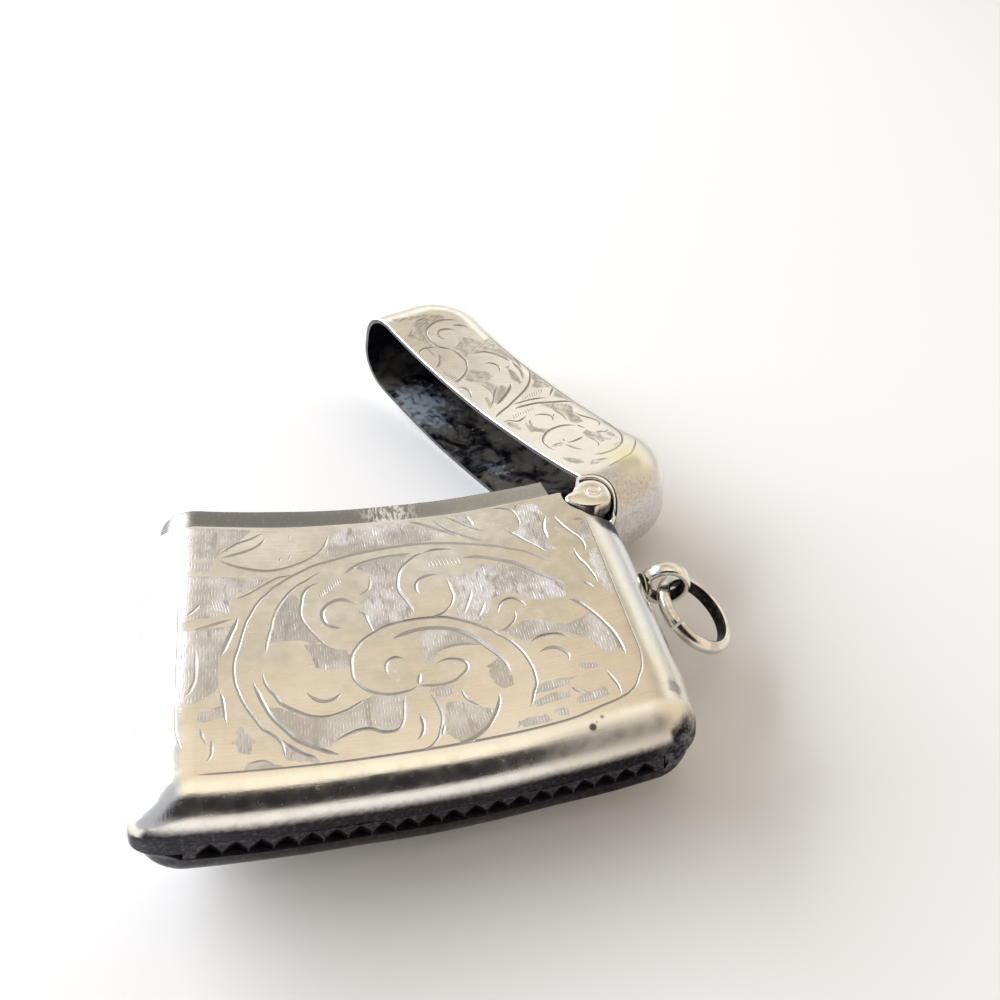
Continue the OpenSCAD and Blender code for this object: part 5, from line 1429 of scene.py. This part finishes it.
def make_eye():
    """Broad band loop on a beaded stem with a small foot."""
    ex = np.array((-EYE_AXIS[1], EYE_AXIS[0], 0.0))
    ez = np.array((0.0, 0.0, 1.0))
    verts, faces, grime_and_shade = [], [], []
    prof = [(1.40, 0.0), (1.405, 0.30), (1.45, 0.48), (1.56, 0.60), (1.72, 0.65), (1.89, 0.61), (2.00, 0.50), (2.05, 0.32), (2.065, 0.0),
            (2.05, -0.32), (2.00, -0.50), (1.89, -0.61), (1.72, -0.65), (1.57, -0.59), (1.46, -0.46), (1.405, -0.28)]
    n, k = 88, len(prof)
    for i in range(n):
        a = 2 * PI * i / n
        d = ex * math.cos(a) + ez * math.sin(a)
        for r, h in prof:
            verts.append(EYE + d * (r + 0.012 * math.sin(3 * a + h)) + EYE_AXIS * h)
            # darker inside the loop: old deposits and painted shade
            grime_and_shade.append(float(np.clip((1.64 - r) / 0.19, 0, 1)))
    for i in range(n):
        for j in range(k):
            a, b = i * k + j, i * k + (j + 1) % k
            c, d = ((i + 1) % n) * k + (j + 1) % k, ((i + 1) % n) * k + j
            faces.append((a, d, c, b))
    # stem along X: foot, neck, bead, neck
    stem = [(18.45, 0.0), (18.45, 0.98), (18.80, 1.08), (19.02, 1.08), (19.10, 1.00), (19.13, 0.82), (19.16, 0.74), (19.22, 0.82), (19.32, 0.90), (19.42, 0.91),
            (19.52, 0.86), (19.60, 0.76), (19.67, 0.60), (19.72, 0.40), (19.72, 0.0)]
    base = len(verts)
    m = 40
    verts.append(np.array((stem[0][0], EYE[1], EYE[2])))
    grime_and_shade.append(1.0)
    for x, r in stem[1:-1]:
        for i in range(m):
            t = 2 * PI * i / m
            verts.append(np.array((x, EYE[1] + r * math.cos(t), EYE[2] + r * math.sin(t))))
            # black at the foot and round the neck: old deposits and painted shadow
            grime_and_shade.append(float(np.clip(1.3 - abs(x - 19.12) / 0.09, 0, 1)) if x > 19.0 else 1.0)
    verts.append(np.array((stem[-1][0], EYE[1], EYE[2])))
    grime_and_shade.append(1.0)
    faces += [(base, base + 1 + (i + 1) % m, base + 1 + i) for i in range(m)]
    for j in range(len(stem) - 3):
        a = base + 1 + j * m
        faces += [(a + i, a + (i + 1) % m, a + m + (i + 1) % m, a + m + i) for i in range(m)]
    a = base + 1 + (len(stem) - 3) * m
    faces += [(a + i, a + (i + 1) % m, len(verts) - 1) for i in range(m)]
    ob = make_mesh("vis_eye", np.array(verts), faces, "case", [m_ring], attrs={"grime_and_shade": ("POINT", grime_and_shade)}, node="suspension_eye")
    ob.data.set_sharp_from_angle(angle=math.radians(60))


def make_ring():
    """Split ring of half-round wire, flat side in, its ends a little out of line."""
    c12, s12, c31, s31 = math.cos(math.radians(-12)), math.sin(math.radians(-12)), math.cos(math.radians(31)), math.sin(math.radians(31))
    turn = np.array(((c12, -s12, 0), (s12, c12, 0), (0, 0, 1))) @ np.array(((c31, 0, s31), (0, 1, 0), (-s31, 0, c31)))
    prof = []
    for t in np.linspace(-118, 118, 19):
        prof.append((3.3 + 0.55 * math.cos(math.radians(t)), 0.57 * math.sin(math.radians(t))))
    prof += [(2.985, 0.465), (2.955, 0.40), (2.95, 0.16), (2.95, -0.16), (2.955, -0.40), (2.985, -0.465)]
    loops, grime_and_shade = [], []
    for a in np.linspace(227.9, 584.1, 150):
        f0, f1 = math.exp(-(a - 227.9) / 16), math.exp(-(584.1 - a) / 16)
        q = math.radians(a)
        row = []
        for r, h in prof:
            rr = r + 0.13 * f0 - 0.03 * f1
            hh = h + 0.13 * f0 - 0.08 * f1
            row.append(RING + turn @ np.array((rr * math.cos(q), rr * math.sin(q), hh)))
            # darker on the flat inner side: old deposits and painted shade
            grime_and_shade.append(float(np.clip((3.14 - r) / 0.12, 0, 1)))
        loops.append(row)
    swept("vis_ring", loops, False, "ring", m_ring, "jump_ring", attrs={"grime_and_shade": ("POINT", grime_and_shade)}, sharp=55)


make_eye()
make_ring()

# ------------------------------------------------------------------ CAD nodes that stay
for name, m in (("base_plate", m_in_body), ("hinge_bearer", m_dark), ("lid_knuckle", m_dark)):
    ob = nodes[name]
    for i in range(max(1, len(ob.data.materials))):
        if len(ob.data.materials) == 0:
            ob.data.materials.append(m)
        else:
            ob.data.materials[i] = m

# ------------------------------------------------------------------ stage
TABLE = -4.47
fme = bpy.data.meshes.new("floor")
s = 1.6
fme.from_pydata([(-s, -s, TABLE * MM), (s, -s, TABLE * MM), (s, s, TABLE * MM), (-s, s, TABLE * MM)], [], [(0, 1, 2, 3)])
floor = bpy.data.objects.new("floor", fme)
bpy.context.scene.collection.objects.link(floor)
fm = bpy.data.materials.new("paper")
fm.use_nodes = True
fb = fm.node_tree.nodes["Principled BSDF"]
fb.inputs["Base Color"].default_value = (0.86, 0.86, 0.87, 1)
fb.inputs["Roughness"].default_value = 0.85
fb.inputs["Specular IOR Level"].default_value = 0.2
fme.materials.append(fm)


def area(name, loc, target, size, power, color):
    L = bpy.data.lights.new(name, "AREA")
    L.shape = "RECTANGLE"
    L.size, L.size_y = size
    L.energy = power
    L.color = color
    ob = bpy.data.objects.new(name, L)
    bpy.context.scene.collection.objects.link(ob)
    d = Vector(target) - Vector(loc)
    ob.matrix_world = Matrix.Translation(Vector(loc)) @ d.to_track_quat("-Z", "Y").to_matrix().to_4x4()
    return ob


area("window", (-0.52, 0.40, 0.235), (0, 0.015, 0), (0.85, 0.56), 10.8, (0.945, 0.965, 1.0))

world = bpy.data.worlds.new("studio")
bpy.context.scene.world = world
world.use_nodes = True
wt = world.node_tree
bg = wt.nodes["Background"]
tc = wt.nodes.new("ShaderNodeTexCoord")


def wdot(v):
    n = wt.nodes.new("ShaderNodeVectorMath")
    n.operation = "DOT_PRODUCT"
    wt.links.new(tc.outputs["Generated"], n.inputs[0])
    n.inputs[1].default_value = tuple(np.array(v, float) / np.linalg.norm(v))
    return n.outputs["Value"]


def wmap(v, a, b):
    n = wt.nodes.new("ShaderNodeMapRange")
    n.interpolation_type = "SMOOTHSTEP"
    wt.links.new(v, n.inputs["Value"])
    n.inputs["From Min"].default_value = a
    n.inputs["From Max"].default_value = b
    return n.outputs["Result"]


def wmix(f, a, b):
    n = wt.nodes.new("ShaderNodeMix")
    n.data_type = "RGBA"
    wt.links.new(f, n.inputs["Factor"])
    for s_, v in ((n.inputs["A"], a), (n.inputs["B"], b)):
        if isinstance(v, tuple):
            s_.default_value = (*v, 1.0)
        else:
            wt.links.new(v, s_)
    return n.outputs["Result"]


def wramp(v, stops):
    n = wt.nodes.new("ShaderNodeValToRGB")
    wt.links.new(v, n.inputs["Fac"])
    e = n.color_ramp.elements
    while len(e) < len(stops):
        e.new(0.5)
    for i, (pos, c) in enumerate(stops):
        e[i].position = pos
        e[i].color = (*c, 1.0)
    return n.outputs["Color"]


def wmul(a, b):
    n = wt.nodes.new("ShaderNodeMath")
    n.operation = "MULTIPLY"
    wt.links.new(a, n.inputs[0])
    wt.links.new(b, n.inputs[1])
    return n.outputs["Value"]


# far wall, from the floor up to the ceiling
wall = wramp(wdot((0, 0, 1)), [(0.0, (0.56, 0.56, 0.57)), (0.36, (1.10, 1.06, 0.98)), (0.54, (1.24, 1.18, 1.05)), (0.65, (0.62, 0.595, 0.52)),
                               (0.71, (0.53, 0.50, 0.43)), (0.77, (0.72, 0.62, 0.48)), (0.83, (0.90, 0.74, 0.56)), (0.90, (1.0, 0.93, 0.76))])
sky = wmix(wmap(wdot((0.85, -0.25, 0.25)), -0.1, 0.85), (0.49, 0.515, 0.57), (0.92, 0.79, 0.63))
sky = wmix(wmul(wmap(wdot((0, 1, 0)), 0.20, 0.50), wmap(wdot((1, 0, 0)), -0.42, -0.16)), sky, wall)
sky = wmix(wmap(wdot((0.1, 0.02, 1.0)), 0.88, 0.985), sky, (1.14, 1.03, 0.83))
sky = wmix(wmap(wdot((0.06, -0.77, 0.64)), 0.79, 0.88), sky, (0.02, 0.02, 0.024))
wt.links.new(sky, bg.inputs["Color"])
bg.inputs["Strength"].default_value = 1.0

# ------------------------------------------------------------------ camera
cam = bpy.data.cameras.new("camera")
cam.sensor_fit = "HORIZONTAL"
cam.sensor_width = 36.0
cam.lens = 34.2
cam.shift_x = -0.093
cam.clip_start = 0.002
cam.clip_end = 10
co = bpy.data.objects.new("camera", cam)
bpy.context.scene.collection.objects.link(co)
R = np.array((0.9529, -0.2782, 0.1205))
D = np.array((-0.0957, -0.6532, -0.7511))
Fw = np.array((0.2876, 0.7043, -0.6491))
rot = Matrix(((R[0], -D[0], -Fw[0]), (R[1], -D[1], -Fw[1]), (R[2], -D[2], -Fw[2]))).to_4x4()
co.matrix_world = Matrix.Translation(Vector((-6.53, -33.16, 57.57)) * MM) @ rot
bpy.context.scene.camera = co
bpy.context.scene.view_settings.view_transform = "Standard"
